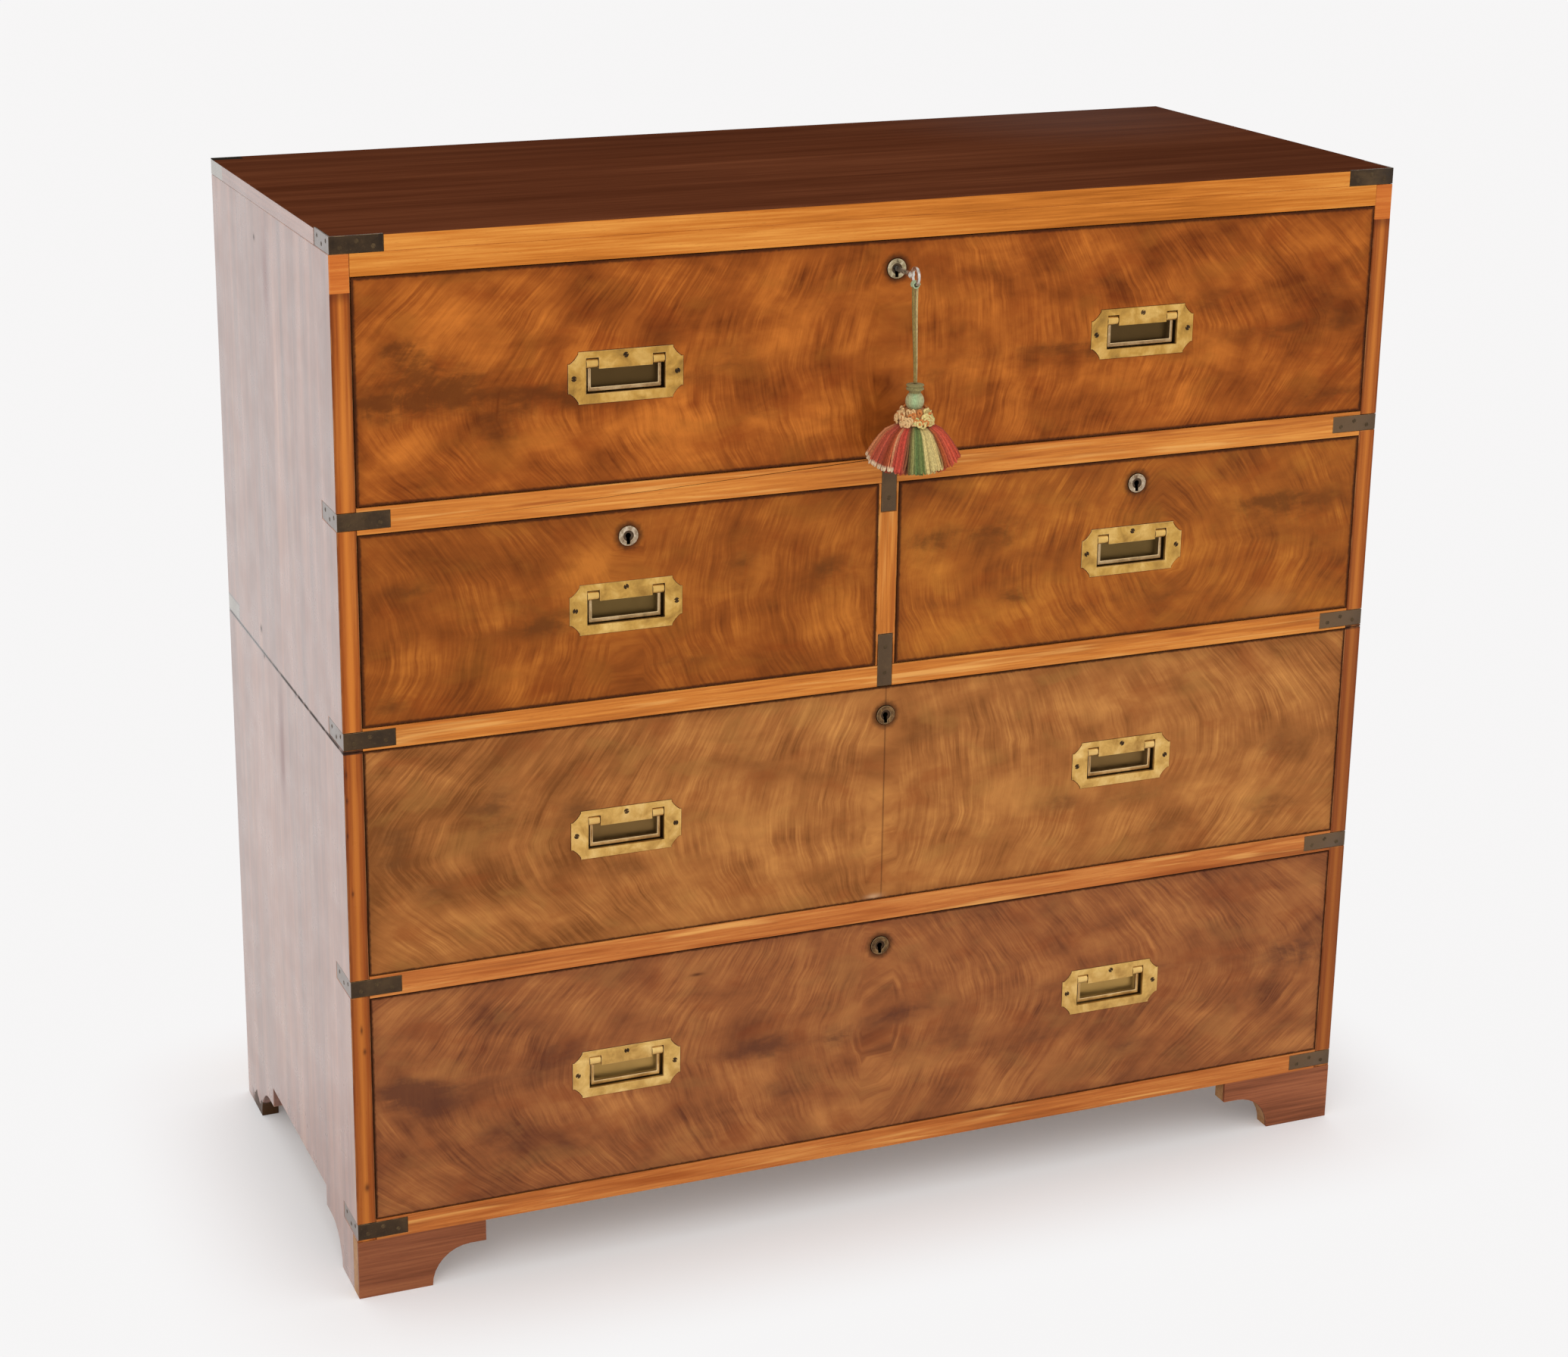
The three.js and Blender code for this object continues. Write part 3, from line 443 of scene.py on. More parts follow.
BLUR = 0.0004
FOOT_LEVEL = 0.0595
SEAM_LEVEL = 0.5517
SEAM_HALF = 0.0013
STILE_WIDTH = 0.018
TOP_BLOCK = 0.9705
TOP_LEVEL = 1.0195
TOP_GLOW = (0.40, 0.22, 1.02)


def front_mask(wood, depth=0.0012):
    """1 on what faces the front, 0 behind it."""
    return wood.step(wood.y(), FRONT_Y + depth + 0.0006, FRONT_Y + depth)


def foot_mask(wood):
    """1 on the bracket feet, 0 above them."""
    return wood.step(wood.z(), FOOT_LEVEL + BLUR, FOOT_LEVEL - BLUR)


ORANGE = ((146, 78, 26), (198, 118, 47), (228, 156, 74))
LOWER_ORANGE = ((134, 70, 30), (186, 107, 49), (216, 144, 74))
STILE = ((108, 46, 10), (160, 81, 27), (186, 108, 44))
SIDE = ((104, 58, 42), (144, 92, 71), (176, 122, 98))
FOOT = ((102, 56, 35), (147, 86, 56), (176, 111, 72))
TOP = ((72, 35, 19), (88, 46, 27), (106, 59, 36))
PLAIN = ((140, 96, 58), (172, 126, 82), (196, 152, 106))
WORN = (214, 150, 92)
# Pale grey of the flush straps drawn at the rear corner, on the flank and on the top's end.
PALE_STRAP = (132, 124, 110)


# On the left flank, reddish streaks: y, z, reach along y, reach along z; and dents: y, z, reach.
STREAKS = ((0.034, 0.945, 0.011, 0.045), (0.034, 0.47, 0.010, 0.06))
STREAK_BARE = 0.35
DENTS = ((0.107, 0.5746, 0.004), (0.076, 0.972, 0.003), (0.098, 0.549, 0.003), (-0.03, 0.5505, 0.003))
REAR_STRAP_LENGTH = 0.048
REAR_STRAP = (SEAM_LEVEL + 0.001, SEAM_LEVEL + 0.017)
# Small dark marks on the left stile: x, z, reach along x, reach along z.
STILE_MARKS = (
    (-0.5315, 0.531, 0.0012, 0.004), (-0.5315, 0.506, 0.0014, 0.003), (-0.5320, 0.472, 0.0012, 0.003),
    (-0.5285, 0.415, 0.0012, 0.003), (-0.5240, 0.278, 0.0012, 0.004), (-0.5215, 0.256, 0.0016, 0.003),
    (-0.5230, 0.116, 0.0024, 0.004),
)


def rear_mask(wood, start, low, high):
    """1 on a side behind a place and between two heights."""
    z = wood.z()
    behind = wood.step(wood.y(), start - BLUR, start + BLUR)
    between = wood.times(wood.step(z, low - BLUR, low + BLUR), wood.step(z, high + BLUR, high - BLUR))
    return wood.times(behind, between)


def stile_colour(wood, shift):
    """A stile: a painted highlight along its middle and painted shade at both edges, with a plain block at
    its head.
    """
    stile, _ = straight_wood(wood, ALONG_Z, STILE, (shift[0] + 3, 0, 1))
    beside = wood.size(wood.less(wood.size(wood.x()), HALF_WIDTH - STILE_WIDTH / 2))
    beside = wood.plus(beside, wood.line(wood.cloud((60, 60, 7), 2, 0.5, shift=shift), 0.006, -0.003))
    lower = wood.step(wood.z(), SEAM_LEVEL + 0.002, SEAM_LEVEL - 0.002, 0.0, 0.22)
    lower = wood.plus(lower, wood.step(wood.x(), -0.1, 0.1, 0.0, 0.3))
    block, _ = straight_wood(wood, ALONG_X, ORANGE, (shift[0], 5, 2))
    head = wood.step(wood.z(), TOP_BLOCK, TOP_BLOCK + 0.0006)
    under = wood.step(wood.z(), TOP_BLOCK - 0.012, TOP_BLOCK, 0.0, 0.55)
    return wood.over(
        stile,
        # painted highlight along the stile's middle, then painted shade at both its edges
        (wood.step(beside, 0.0045, 0.0, 0.0, 0.6), (218, 132, 52)),
        (wood.step(beside, 0.0055, 0.0092, 0.0, 0.7), (92, 38, 12)),
        *((wood.times(wood.spot(ALONG_X, *mark), 0.8), (62, 26, 12)) for mark in STILE_MARKS),
        (wood.times(lower, wood.step(wood.z(), 0.75, 0.5, 0.5, 1.0)), (112, 58, 30)),
        (head, wood.over(block, (0.35, (196, 84, 30)))),
        (wood.times(under, wood.less(1.0, head)), (84, 32, 12)),
    )


def foot_colour(wood):
    """The feet's reddish wood, darker to the left."""
    foot, _ = straight_wood(wood, ALONG_X, FOOT, (1, 2, 3))
    return wood.over(foot, (wood.step(wood.x(), -0.5, 0.5, 0.22, 0.0), (72, 34, 18)))


def side_finish(name, tint, shift):
    """A mahogany side: polished flank, orange front edge and darker foot.

    The polish lies on the flank only. A dark line marks the seam between the two halves, and the
    flank has reddish streaks, small dents and a flush strap at its rear corner.
    """
    wood = Finish(name, tint, Coat_Roughness=0.3, Coat_IOR=1.55)
    flank, height = straight_wood(wood, ALONG_Z, SIDE, shift, 0.1)
    wide = wood.cloud((1, 26, 1.6), 3, 0.55, 0.2, shift=shift)
    streaks = [wood.spot(ALONG_Y, *streak) for streak in STREAKS]
    dents = [wood.times(wood.spot(ALONG_Y, y, z, reach, reach), 0.9) for y, z, reach in DENTS]
    end, (low, high) = BACK_Y - REAR_STRAP_LENGTH, REAR_STRAP
    flank = wood.over(
        flank,
        (wood.step(wide, 0.42, 0.7, 0.0, 0.5), (96, 54, 40)),
        (wood.step(wide, 0.42, 0.25, 0.0, 0.5), (196, 146, 112)),
        *((wood.times(streak, 0.95), (116, 44, 20)) for streak in streaks),
        *((dent, (20, 14, 10)) for dent in dents),
        (wood.times(rear_mask(wood, end - 0.002, low - 0.001, high + 0.002), 0.8), (24, 18, 14)),
        (rear_mask(wood, end, low, high), PALE_STRAP),
    )
    stile = wood.mix(foot_mask(wood), stile_colour(wood, shift), foot_colour(wood))
    front = front_mask(wood)
    rub = wood.step(wood.cloud((60, 60, 25), 3, 0.6), 0.42, 0.6)
    seam = wood.band(wood.z(), SEAM_LEVEL, SEAM_HALF)
    seam = wood.times(seam, wood.step(wood.cloud(80, 2, 0.5), 0.3, 0.5, 0.5, 0.95))
    loss = broken_foot(wood)
    colour = wood.over(
        wood.mix(front, flank, stile),
        (wood.times(wood.attribute("edge"), rub, 0.3), WORN),
        (seam, (44, 26, 18)),
        (loss, (74, 50, 30)),
    )
    wood.bump(wood.less(height, wood.times(loss, 8.0)), 0.00003)
    bare = [wood.times(streak, STREAK_BARE) for streak in streaks] + dents
    bare = wood.most(0.0, *bare, wood.times(seam, wood.step(wood.y(), 0.14, -0.04, 0.25, 1.0)))
    gloss = wood.less(1.0, wood.most(wood.most(front, loss), bare))
    wood.put("Coat Weight", gloss)
    wood.put("Specular IOR Level", wood.line(gloss, 0.7, 0.1))
    return wood.finish(colour, varied(wood, 0.26, 0.38))


def broken_foot(wood):
    """1 where the veneer is broken off the rear left foot: under a ragged line of two peaks."""
    peaks = wood.math("PINGPONG", wood.less(wood.y(), 0.176), 0.0125)
    ragged = wood.line(wood.cloud(190, 2, 0.5), 0.014, -0.004)
    line = wood.plus(wood.line(peaks, 1.0, 0.006), ragged)
    under = wood.step(wood.less(wood.z(), line), BLUR, -BLUR)
    left = wood.step(wood.x(), 0.1 - HALF_WIDTH, 0.05 - HALF_WIDTH)
    return wood.times(under, wood.band(wood.y(), 0.2, 0.020), left)


def rail_finish(name, tint, axis, shift, woods):
    """A rail: bright veneer on its front, plain wood on the board behind it."""
    wood = Finish(name, tint, Specular_IOR_Level=0.1)
    veneer, height = straight_wood(wood, axis, woods, shift)
    bands = wood.cloud(grain_scale(axis, *RAIL_BANDS), 2, 0.5, 0.3, shift=shift)
    veneer = wood.over(
        veneer,
        (wood.step(bands, 0.54, 0.72, 0.0, 0.6), (236, 176, 98)),
        (wood.step(bands, 0.46, 0.28, 0.0, 0.6), (150, 72, 24)),
        (foot_mask(wood), foot_colour(wood)),
    )
    board, _ = straight_wood(wood, ALONG_X, PLAIN, (5, 1, 2))
    edge = wood.attribute("edge")
    rub = wood.step(wood.cloud((40, 60, 60), 3, 0.6), 0.42, 0.6, -0.5, 0.4)
    colour = wood.over(
        wood.mix(front_mask(wood, 0.003), board, veneer),
        (wood.times(edge, wood.most(rub, 0.0)), WORN),
        (wood.times(edge, wood.times(wood.least(rub, 0.0), -1.0)), (60, 28, 12)),
    )
    wood.bump(height, 0.00005)
    return wood.finish(colour, varied(wood, 0.36, 0.5))


def top_finish(name, tint):
    """The top: dark red-brown polish, orange front edge and rail, paler end."""
    wood = Finish(name, tint, Coat_Roughness=0.2)
    top, height = straight_wood(wood, ALONG_X, TOP)
    fronts, _ = straight_wood(wood, ALONG_X, ORANGE, (7, 2, 1))
    ends, _ = straight_wood(wood, ALONG_Y, SIDE, (4, 2, 1))
    above = wood.step(wood.z(), TOP_LEVEL, TOP_LEVEL + BLUR)
    end = wood.step(wood.size(wood.x()), HALF_WIDTH - 0.002, HALF_WIDTH - 0.0015)
    end = wood.times(end, wood.less(1.0, above))
    top = wood.over(
        top,
        (wood.step(wood.x(), 0.0, 0.5, 0.0, 0.25), (50, 26, 18)),
        (wood.step(wood.y(), 0.08, BACK_Y, 0.0, 0.25), (50, 26, 18)),
    )
    rub = wood.step(wood.cloud((30, 30, 60), 3, 0.6), 0.42, 0.6)
    left = wood.step(wood.x(), 0.030 - HALF_WIDTH, 0.029 - HALF_WIDTH)
    behind = wood.step(wood.y(), BACK_Y - 0.016, BACK_Y - 0.015)
    colour = wood.over(
        wood.mix(front_mask(wood), ends, fronts),
        (above, top),
        (wood.times(wood.attribute("edge"), rub, 0.6), WORN),
        (wood.times(left, behind, above), (40, 34, 28)),
        (wood.times(wood.step(wood.y(), BACK_Y - 0.049, BACK_Y - REAR_STRAP_LENGTH), end), PALE_STRAP),
    )
    wood.bump(height, 0.00002)
    polish = wood.times(wood.step(wood.distance(TOP_GLOW), 0.26, 0.02, 0.0, 0.04), above)
    wood.put("Coat Weight", wood.plus(polish, end))
    wood.put("Specular IOR Level", wood.times(end, 0.6))
    return wood.finish(colour, varied(wood, 0.34, 0.42))


# --- drawer fronts

# For each drawer: the middle of its figure, its spine's height, the arcs' strength near the middle and
# at the ends; its tones: dark, middle, light, smoke; the contrast of its patches; the width of its painted
# rim shade.
FIGURES = {
    "first": (
        (0.0, 0.868, 0.12, 0.85),
        ((108, 50, 14), (152, 79, 27), (196, 112, 42), (94, 48, 17)),
        1.12, 0.0048,
    ),
    "second_left": (
        (-0.263, 0.655, -0.35, -0.55),
        ((112, 56, 18), (145, 77, 27), (186, 110, 42), (98, 54, 21)),
        0.9, 0.0046,
    ),
    "second_right": (
        (0.30, 0.655, 0.55, 0.25),
        ((116, 60, 22), (157, 87, 32), (194, 120, 46), (100, 56, 22)),
        0.9, 0.0046,
    ),
    "third": (
        (0.002, 0.438, 0.15, 0.85),
        ((120, 70, 32), (160, 99, 50), (198, 134, 70), (104, 64, 33)),
        0.85, 0.0034,
    ),
    "fourth": (
        (0.0, 0.200, 0.35, 0.9),
        ((104, 58, 36), (147, 88, 50), (184, 120, 67), (92, 54, 38)),
        0.88, 0.0034,
    ),
}
# How much smoke lies along each spine.
SMOKE = {"first": 0.45, "second_left": 0.3, "second_right": 0.3, "third": 0.25, "fourth": 0.45}
# Small marks on the fronts: x, z, reach along x, reach along z, share, colour.
MARKS = {
    "first": (),
    "second_left": (),
    "second_right": ((0.424, 0.589, 0.026, 0.013, 0.45, (188, 124, 60)),),
    "third": (
        (0.002, 0.44, 0.0008, 0.30, 0.6, (70, 38, 20)),
        (-0.006, 0.3345, 0.008, 0.0026, 0.9, (212, 166, 124)),
    ),
    "fourth": ((-0.191, 0.281, 0.007, 0.0016, 0.8, (70, 36, 22)),),
}

# Dark clouds and bright flames of each drawer: x, z, reach along x and z in mm, strength in hundredths.
CLOUDS = {
    "first": (
        (-469, 915, 30, 14, 80), (-423, 885, 34, 16, 80), (-480, 868, 40, 14, 70), (-385, 838, 30, 22, 60),
        (-310, 866, 90, 10, 80), (-224, 915, 18, 20, 50), (-155, 900, 22, 18, 60), (-125, 836, 30, 12, 60),
        (-30, 815, 60, 10, 50), (40, 842, 50, 9, 50), (224, 932, 20, 16, 50), (321, 905, 50, 14, 60),
        (468, 905, 30, 20, 60), (470, 800, 50, 12, 60), (188, 866, 80, 8, 60), (400, 862, 70, 9, 60),
    ),
    "second_left": (
        (-454, 697, 20, 12, 60), (-377, 683, 26, 10, 70), (-337, 652, 50, 9, 70), (-149, 688, 20, 18, 60),
        (-60, 676, 30, 16, 60), (-481, 691, 18, 12, 60), (-208, 603, 40, 10, 50), (-490, 592, 22, 12, 60),
    ),
    "second_right": (
        (45, 694, 40, 7, 80), (120, 699, 34, 6, 70), (137, 628, 26, 12, 60), (212, 715, 18, 14, 50),
        (431, 697, 70, 8, 80), (490, 642, 22, 12, 60), (306, 609, 40, 12, 50),
    ),
    "third": (
        (-488, 457, 20, 20, 70), (-453, 408, 24, 14, 60), (-392, 482, 32, 16, 70), (-311, 470, 30, 14, 60),
        (-263, 400, 34, 12, 50), (-139, 482, 30, 10, 50), (38, 500, 40, 10, 50), (274, 521, 50, 10, 50),
        (277, 402, 40, 10, 50), (307, 362, 40, 12, 50), (193, 404, 30, 12, 50), (445, 423, 28, 14, 60),
        (441, 370, 40, 12, 60),
    ),
    "fourth": (
        (-385, 142, 34, 16, 70), (-455, 193, 30, 14, 70), (-485, 208, 22, 18, 70), (-328, 225, 36, 12, 60),
        (-312, 128, 30, 14, 50), (-119, 196, 34, 12, 60), (-97, 144, 28, 12, 50), (-42, 183, 24, 14, 60),
        (90, 169, 30, 12, 50), (191, 155, 40, 10, 50), (478, 207, 28, 14, 60), (283, 126, 30, 12, 50),
        (299, 90, 40, 10, 50), (22, 203, 30, 10, 60),
    ),
}
FLAMES = {
    "first": (
        (-438, 946, 60, 12, 70), (-455, 902, 14, 22, 50), (-82, 828, 40, 14, 60), (-257, 826, 70, 14, 60),
        (74, 853, 50, 10, 40), (240, 826, 60, 12, 40), (383, 958, 60, 10, 40), (343, 845, 60, 10, 40),
        (-470, 815, 30, 16, 60), (480, 860, 120, 100, -25),
    ),
    "second_left": (
        (-452, 639, 36, 16, 60), (-377, 663, 30, 10, 50), (-303, 708, 30, 14, 50), (-483, 717, 20, 12, 50),
        (-202, 727, 50, 12, 40), (-460, 660, 80, 80, -30),
    ),
    "second_right": (
        (84, 734, 50, 12, 50), (72, 611, 50, 14, 40), (417, 648, 40, 14, 50), (353, 673, 30, 10, 50),
        (440, 660, 120, 80, -28),
    ),
    "third": (
        (-442, 464, 24, 14, 50), (-449, 424, 24, 10, 50), (-410, 373, 50, 12, 50), (-164, 428, 50, 18, 40),
        (-234, 389, 40, 12, 40), (-451, 516, 50, 12, 40), (-47, 383, 60, 14, 40), (168, 417, 70, 20, 40),
        (292, 505, 60, 10, 40), (407, 392, 50, 14, 40), (-440, 440, 170, 120, -48),
    ),
    "fourth": (
        (-463, 252, 40, 12, 50), (-454, 215, 30, 8, 40), (-252, 150, 60, 16, 40), (-141, 175, 40, 12, 40),
        (-44, 109, 60, 12, 40), (76, 154, 50, 14, 40), (490, 278, 30, 12, 40), (-440, 190, 200, 130, -25),
    ),
}
LOCK_PLACES = {
    "first": (0.002, 0.9572),
    "second_left": (-0.261, 0.728),
    "second_right": (0.265, 0.728),
    "third": (0.002, 0.522),
    "fourth": (0.002, 0.2815),
}
FIGURE_REACH = 0.5
FIGURE_BEND = 0.1
SOFT_MIDDLE = 0.012
SPOT_UNITS = (1000, 1000, 1000, 1000, 100)


def spots(x, z, table):
    """A sum of soft spots: sum of s exp(-((x - cx) / rx)^2 - ((z - cz) / rz)^2)."""
    rows = (np.array(table) / SPOT_UNITS)[:, :, None]
    bells = ((x - rows[:, 0]) / rows[:, 2]) ** 2 + ((z - rows[:, 1]) / rows[:, 3]) ** 2
    return (rows[:, 4] * np.exp(-bells)).sum(0)


def crotch_figure(x, z, plan, seed):
    """The coordinates of a crotch figure.

    u = x - middle and v = z - spine, both wandering a little;
    across = sqrt(u^2 + m^2) + K v^1.6 / b^0.6 + three small sine ripples, where K goes from its inner
    to its outer value; along = v.
    """
    middle, spine, inner, outer = plan
    u = x - middle + 0.004 * np.sin(22 * z + seed) + 0.002 * np.sin(47 * z + 9 * x + 2 * seed)
    v = z - spine - 0.008 * np.sin(9 * x + seed) - 0.003 * np.sin(21 * x + 2.3 * seed)
    reach = np.sqrt(u * u + SOFT_MIDDLE**2)
    strength = inner + (outer - inner) * np.clip(np.abs(u) / FIGURE_REACH, 0, 1)
    bend = strength * (v * v + 1e-6) ** 0.8 / FIGURE_BEND**0.6
    ripple = 0.0008 * np.sin(60 * z + 14 * x + seed)
    ripple += 0.0012 * np.sin(130 * z + 40 * x + seed) + 0.0010 * np.sin(95 * x - 170 * z + 2 * seed)
    return reach + bend + ripple, v


def crotch_veneer(drawer, tint, seed, box):
    """Crotch mahogany: soft streaks along the figure, smoke along its spine, flames, and painted shade
    along its rims.
    """
    _, woods, contrast, rim_shade_width = FIGURES[drawer]
    lock_x, lock_z = LOCK_PLACES[drawer]
    wood = Finish(f"{drawer}_veneer", tint, Specular_IOR_Level=0.05)
    dark, middle, light, smoke = wood.tinted(woods)
    figure = wood.node("ShaderNodeUVMap", uv_map="figure").outputs[0]
    patch = wood.cloud((12, 1, 20), 5, 0.55, 0.3, shift=(seed, 0, 3 * seed))
    hue = wood.cloud((16, 1, 30), 4, 0.55, 0.3, shift=(3 * seed, 0, seed))
    broad = wood.cloud((30, 16, 1), 3, 0.5, 0.1, vector=figure, shift=(seed, 0, seed))
    mid = wood.cloud((150, 13, 1), 2, 0.5, 0.05, vector=figure, shift=(0, seed, 2 * seed))
    fine = wood.cloud((330, 17, 1), 2, 0.6, 0.03, vector=figure, shift=(0, 0, seed))
    hair = wood.cloud((900, 90, 1), 2, 0.5, vector=figure, shift=(0, 3, seed))
    shown = wood.step(wood.cloud((18, 1, 26), 3, 0.5, shift=(2 * seed, 0, seed)), 0.34, 0.66, 0.25, 1.2)
    lines = wood.plus(wood.line(mid, 0.38, -0.19), wood.line(fine, 0.5, -0.25))
    level = wood.plus(
        wood.line(patch, contrast, 0.5 - contrast / 2),
        wood.line(broad, 0.5, -0.25),
        wood.times(lines, shown),
        wood.times(wood.attribute("bright"), 0.36),
    )
    golden = tuple(min(1.0, part * share) for part, share in zip(middle, (1.02, 1.3, 1.25, 1.0)))
    ruddy = tuple(part * share for part, share in zip(middle, (0.8, 0.56, 0.5, 1.0)))
    puff = wood.cloud((30, 1, 60), 5, 0.65, 0.3, shift=(0, 0, seed))
    puff = wood.plus(wood.line(puff, 2.6, -0.5), wood.times(lines, 1.8))
    puff = wood.times(wood.attribute("cloud"), puff)
    dashes = wood.step(hair, 0.58, 0.74)
    rough_rim = wood.cloud(260, 2, 0.5)
    near = wood.line(rough_rim, 0.004, wood.distance((lock_x, FRONT_Y, lock_z)))
    rim = wood.line(rough_rim, 0.002, border_distance(wood, *box))
    board, _ = straight_wood(wood, ALONG_X, PLAIN, (seed, 1, 2))
    colour = wood.over(
        wood.ramp(level, (0.24, 0.5, 0.8), (dark, middle, light)),
        (wood.step(hue, 0.52, 0.68, 0.0, 0.35), golden),
        (wood.step(hue, 0.46, 0.3, 0.0, 0.35), ruddy),
        (wood.step(puff, 0.06, 0.75, 0.0, 0.8), smoke),
        *((wood.times(wood.spot(ALONG_X, *place), share), shade) for *place, share, shade in MARKS[drawer]),
        (wood.times(dashes, 0.2), dark),
        (wood.step(near, 0.019, 0.0115, 0.0, 0.8), (52, 28, 14)),
        # painted shade along the front's rims, broad and faint, then narrow and dark at the gaps
        (wood.step(rim, 0.012, 0.003, 0.0, 0.3), dark),
        (wood.step(rim, rim_shade_width, rim_shade_width * 0.42, 0.0, 0.85), (48, 22, 10)),
        (wood.step(wood.y(), FRONT_Y + 0.0016, FRONT_Y + 0.002), board),
    )
    wood.bump(wood.less(wood.times(fine, 0.4), dashes), 0.00003)
    return wood.finish(colour, varied(wood, 0.34, 0.48))


def border_distance(wood, low, high):
    """The distance to the nearest border of a front: the least of four."""
    x, z = wood.x(), wood.z()
    sides = [wood.less(x, low.x), wood.less(high.x, x)]
    sides += [wood.less(z, low.z), wood.less(high.z, z)]
    return wood.least(wood.least(*sides[:2]), wood.least(*sides[2:]))


def make_fronts(wood):
    """The five veneered drawer fronts, each with its own figure."""
    for seed, drawer in enumerate(DRAWERS, 2):
        plan = FIGURES[drawer][0]
        node, name = f"{drawer}_drawer_front", f"{drawer}_veneered_front"
        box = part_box(node)
        finish = crotch_veneer(drawer, wood.veneer_tint, seed, box)
        piece = dress(node, finish, "veneer", wood.front_edge, flat=True, name=name, squares=box)
        place = points_of(piece.data)
        x, z = place[:, 0], place[:, 2]
        across, along = crotch_figure(x, z, plan, seed)
        put_figure(piece.data, across, along)
        spine = np.exp(-((along / 0.014) ** 2)) * (0.35 + 1.3 * np.abs(x - plan[0]))
        put_number(piece.data, "cloud", spots(x, z, CLOUDS[drawer]) + SMOKE[drawer] * spine)
        put_number(piece.data, "bright", spots(x, z, FLAMES[drawer]))


# --- carcass


SIDES = ("upper_left_side", "lower_left_side", "upper_right_side", "lower_right_side")
RAILS = ("upper_mid_shelf", "upper_bottom", "lower_mid_shelf", "lower_bottom")


def make_carcass(wood):
    """Sides, rails, top and backs of both halves."""
    for number, node in enumerate(SIDES):
        finish = side_finish(f"{node}_mahogany", wood.side_tint, (number * 1.7, 0.4, number * 0.9))
        dress(node, finish, "side_wood", wood.edge, flat=True)
    rails = []
    for number, node in enumerate(RAILS):
        woods = LOWER_ORANGE if node.startswith("lower") else ORANGE
        rails.append((node, node, ALONG_X, (number * 2.3, 0.2, number * 1.1), woods, "rail_wood"))
    rails.append(("upper_divider", "divider", ALONG_Z, (0.4, 3.0, 1.0), ORANGE, "rail_wood"))
    rails.append(("lower_top_board", "lower_top", ALONG_X, (9.1, 0.7, 2.0), ORANGE, "plain_wood"))
    for node, name, axis, shift, woods, slot in rails:
        finish = rail_finish(f"{name}_veneer", wood.rail_tint, axis, shift, woods)
        dress(node, finish, slot, wood.edge, flat=True)
    dress("top_board", top_finish("top_mahogany", wood.top_tint), "top_wood", wood.top_edge, flat=True)
    backs = plain_finish("back_boards", wood.plain_tint, ALONG_X)
    for node in ("upper_back", "lower_back"):
        dress(node, backs, "plain_wood", wood.front_edge, flat=True)


BOX_BACK = 0.009


def make_boxes(wood):
    """The five drawer boxes, in plain wood with grain along their sides and across their backs."""
    _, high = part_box(f"{DRAWERS[0]}_drawer_box")
    finish = plain_finish("drawer_boards", wood.plain_tint, ALONG_Y, (3, 1, 4), high.y - BOX_BACK)
    for drawer in DRAWERS:
        dress(f"{drawer}_drawer_box", finish, "plain_wood", 0.0, flat=True)


# --- brass

# Pale brass painted on the rounded edges of plates, bails, locks and screws as a highlight.
EDGE_HIGHLIGHT = (236, 204, 152)
STRAP_TONES = ((44, 32, 20), (62, 46, 29), (88, 68, 44))


def aged_brass(name, tint):
    """Dark patinated brass with worn pale edges and small stains, paler to the right and on the sides."""
    metal = Finish(name, tint, Metallic=0.75, Coat_Roughness=0.3, Coat_IOR=1.55)
    patches = metal.cloud(38, 4, 0.65, 0.4)
    grains = metal.cloud(420, 3, 0.6)
    paler = metal.times(metal.step(metal.x(), -0.4, 0.4, 0.05, 0.5), metal.step(metal.z(), 0.95, 0.8))
    rub = metal.step(metal.cloud(90, 3, 0.6), 0.4, 0.62, 0.05, 0.6)
    flank = metal.step(metal.size(metal.x()), HALF_WIDTH - 0.0008, HALF_WIDTH - SIDE_SUNK - 0.0001)
    colour = metal.over(
        metal.ramp(patches, (0.3, 0.52, 0.75), metal.tinted(STRAP_TONES)),
        (metal.step(grains, 0.55, 0.75, 0, 0.3), (104, 82, 54)),
        (paler, (132, 104, 76)),
        (metal.times(metal.attribute("edge"), rub), (150, 122, 84)),
        (metal.times(flank, 0.35), (150, 128, 116)),
    )
    metal.bump(grains, 0.00003)
    metal.put("Coat Weight", flank)
    return metal.finish(colour, metal.step(patches, 0.3, 0.7, 0.34, 0.55))


def satin_brass(name, tint, screens, clouds=55.0, edge_share=0.6):
    """Satin brass in the making: its finish, its cloudy colour and the clouds themselves."""
    metal = Finish(name, tint, Metallic=0.85)
    colours = metal.tinted(screens)
    patches = metal.cloud(clouds, 4, 0.6, 0.5)
    grains = metal.cloud((900, 900, 260), 2, 0.5)
    colour = metal.over(
        metal.ramp(patches, (0.28, 0.5, 0.74), colours),
        (metal.step(grains, 0.5, 0.8, 0, 0.2), colours[0]),
        # painted highlight on the rounded edges
        (metal.times(metal.attribute("edge"), edge_share), EDGE_HIGHLIGHT),
    )
    metal.bump(grains, 0.00002)
    return metal, colour, patches


def plain_brass(name, tint, colours, edge_share=0.6):
    """Satin brass without any dirt."""
    metal, colour, patches = satin_brass(name, tint, colours, edge_share=edge_share)
    return metal.finish(colour, metal.step(patches, 0.3, 0.7, 0.3, 0.46))


def sunk_brass(name, tint, colours, dark, floor, *brass):
    """Satin brass darkened behind the front, by dirt and by painted shade in the recesses.

    The darkening of the walls and the colour of the cup's floor are each two depths, a share and a screen
    colour.
    """
    metal, colour, patches = satin_brass(name, tint, colours, *brass)
    y = metal.y()
    for shallow, deep, share, shade in (dark, floor):
        colour = metal.over(colour, (metal.step(y, FRONT_Y + shallow, FRONT_Y + deep, 0.0, share), shade))
    return metal.finish(colour, metal.step(patches, 0.3, 0.7, 0.3, 0.46))


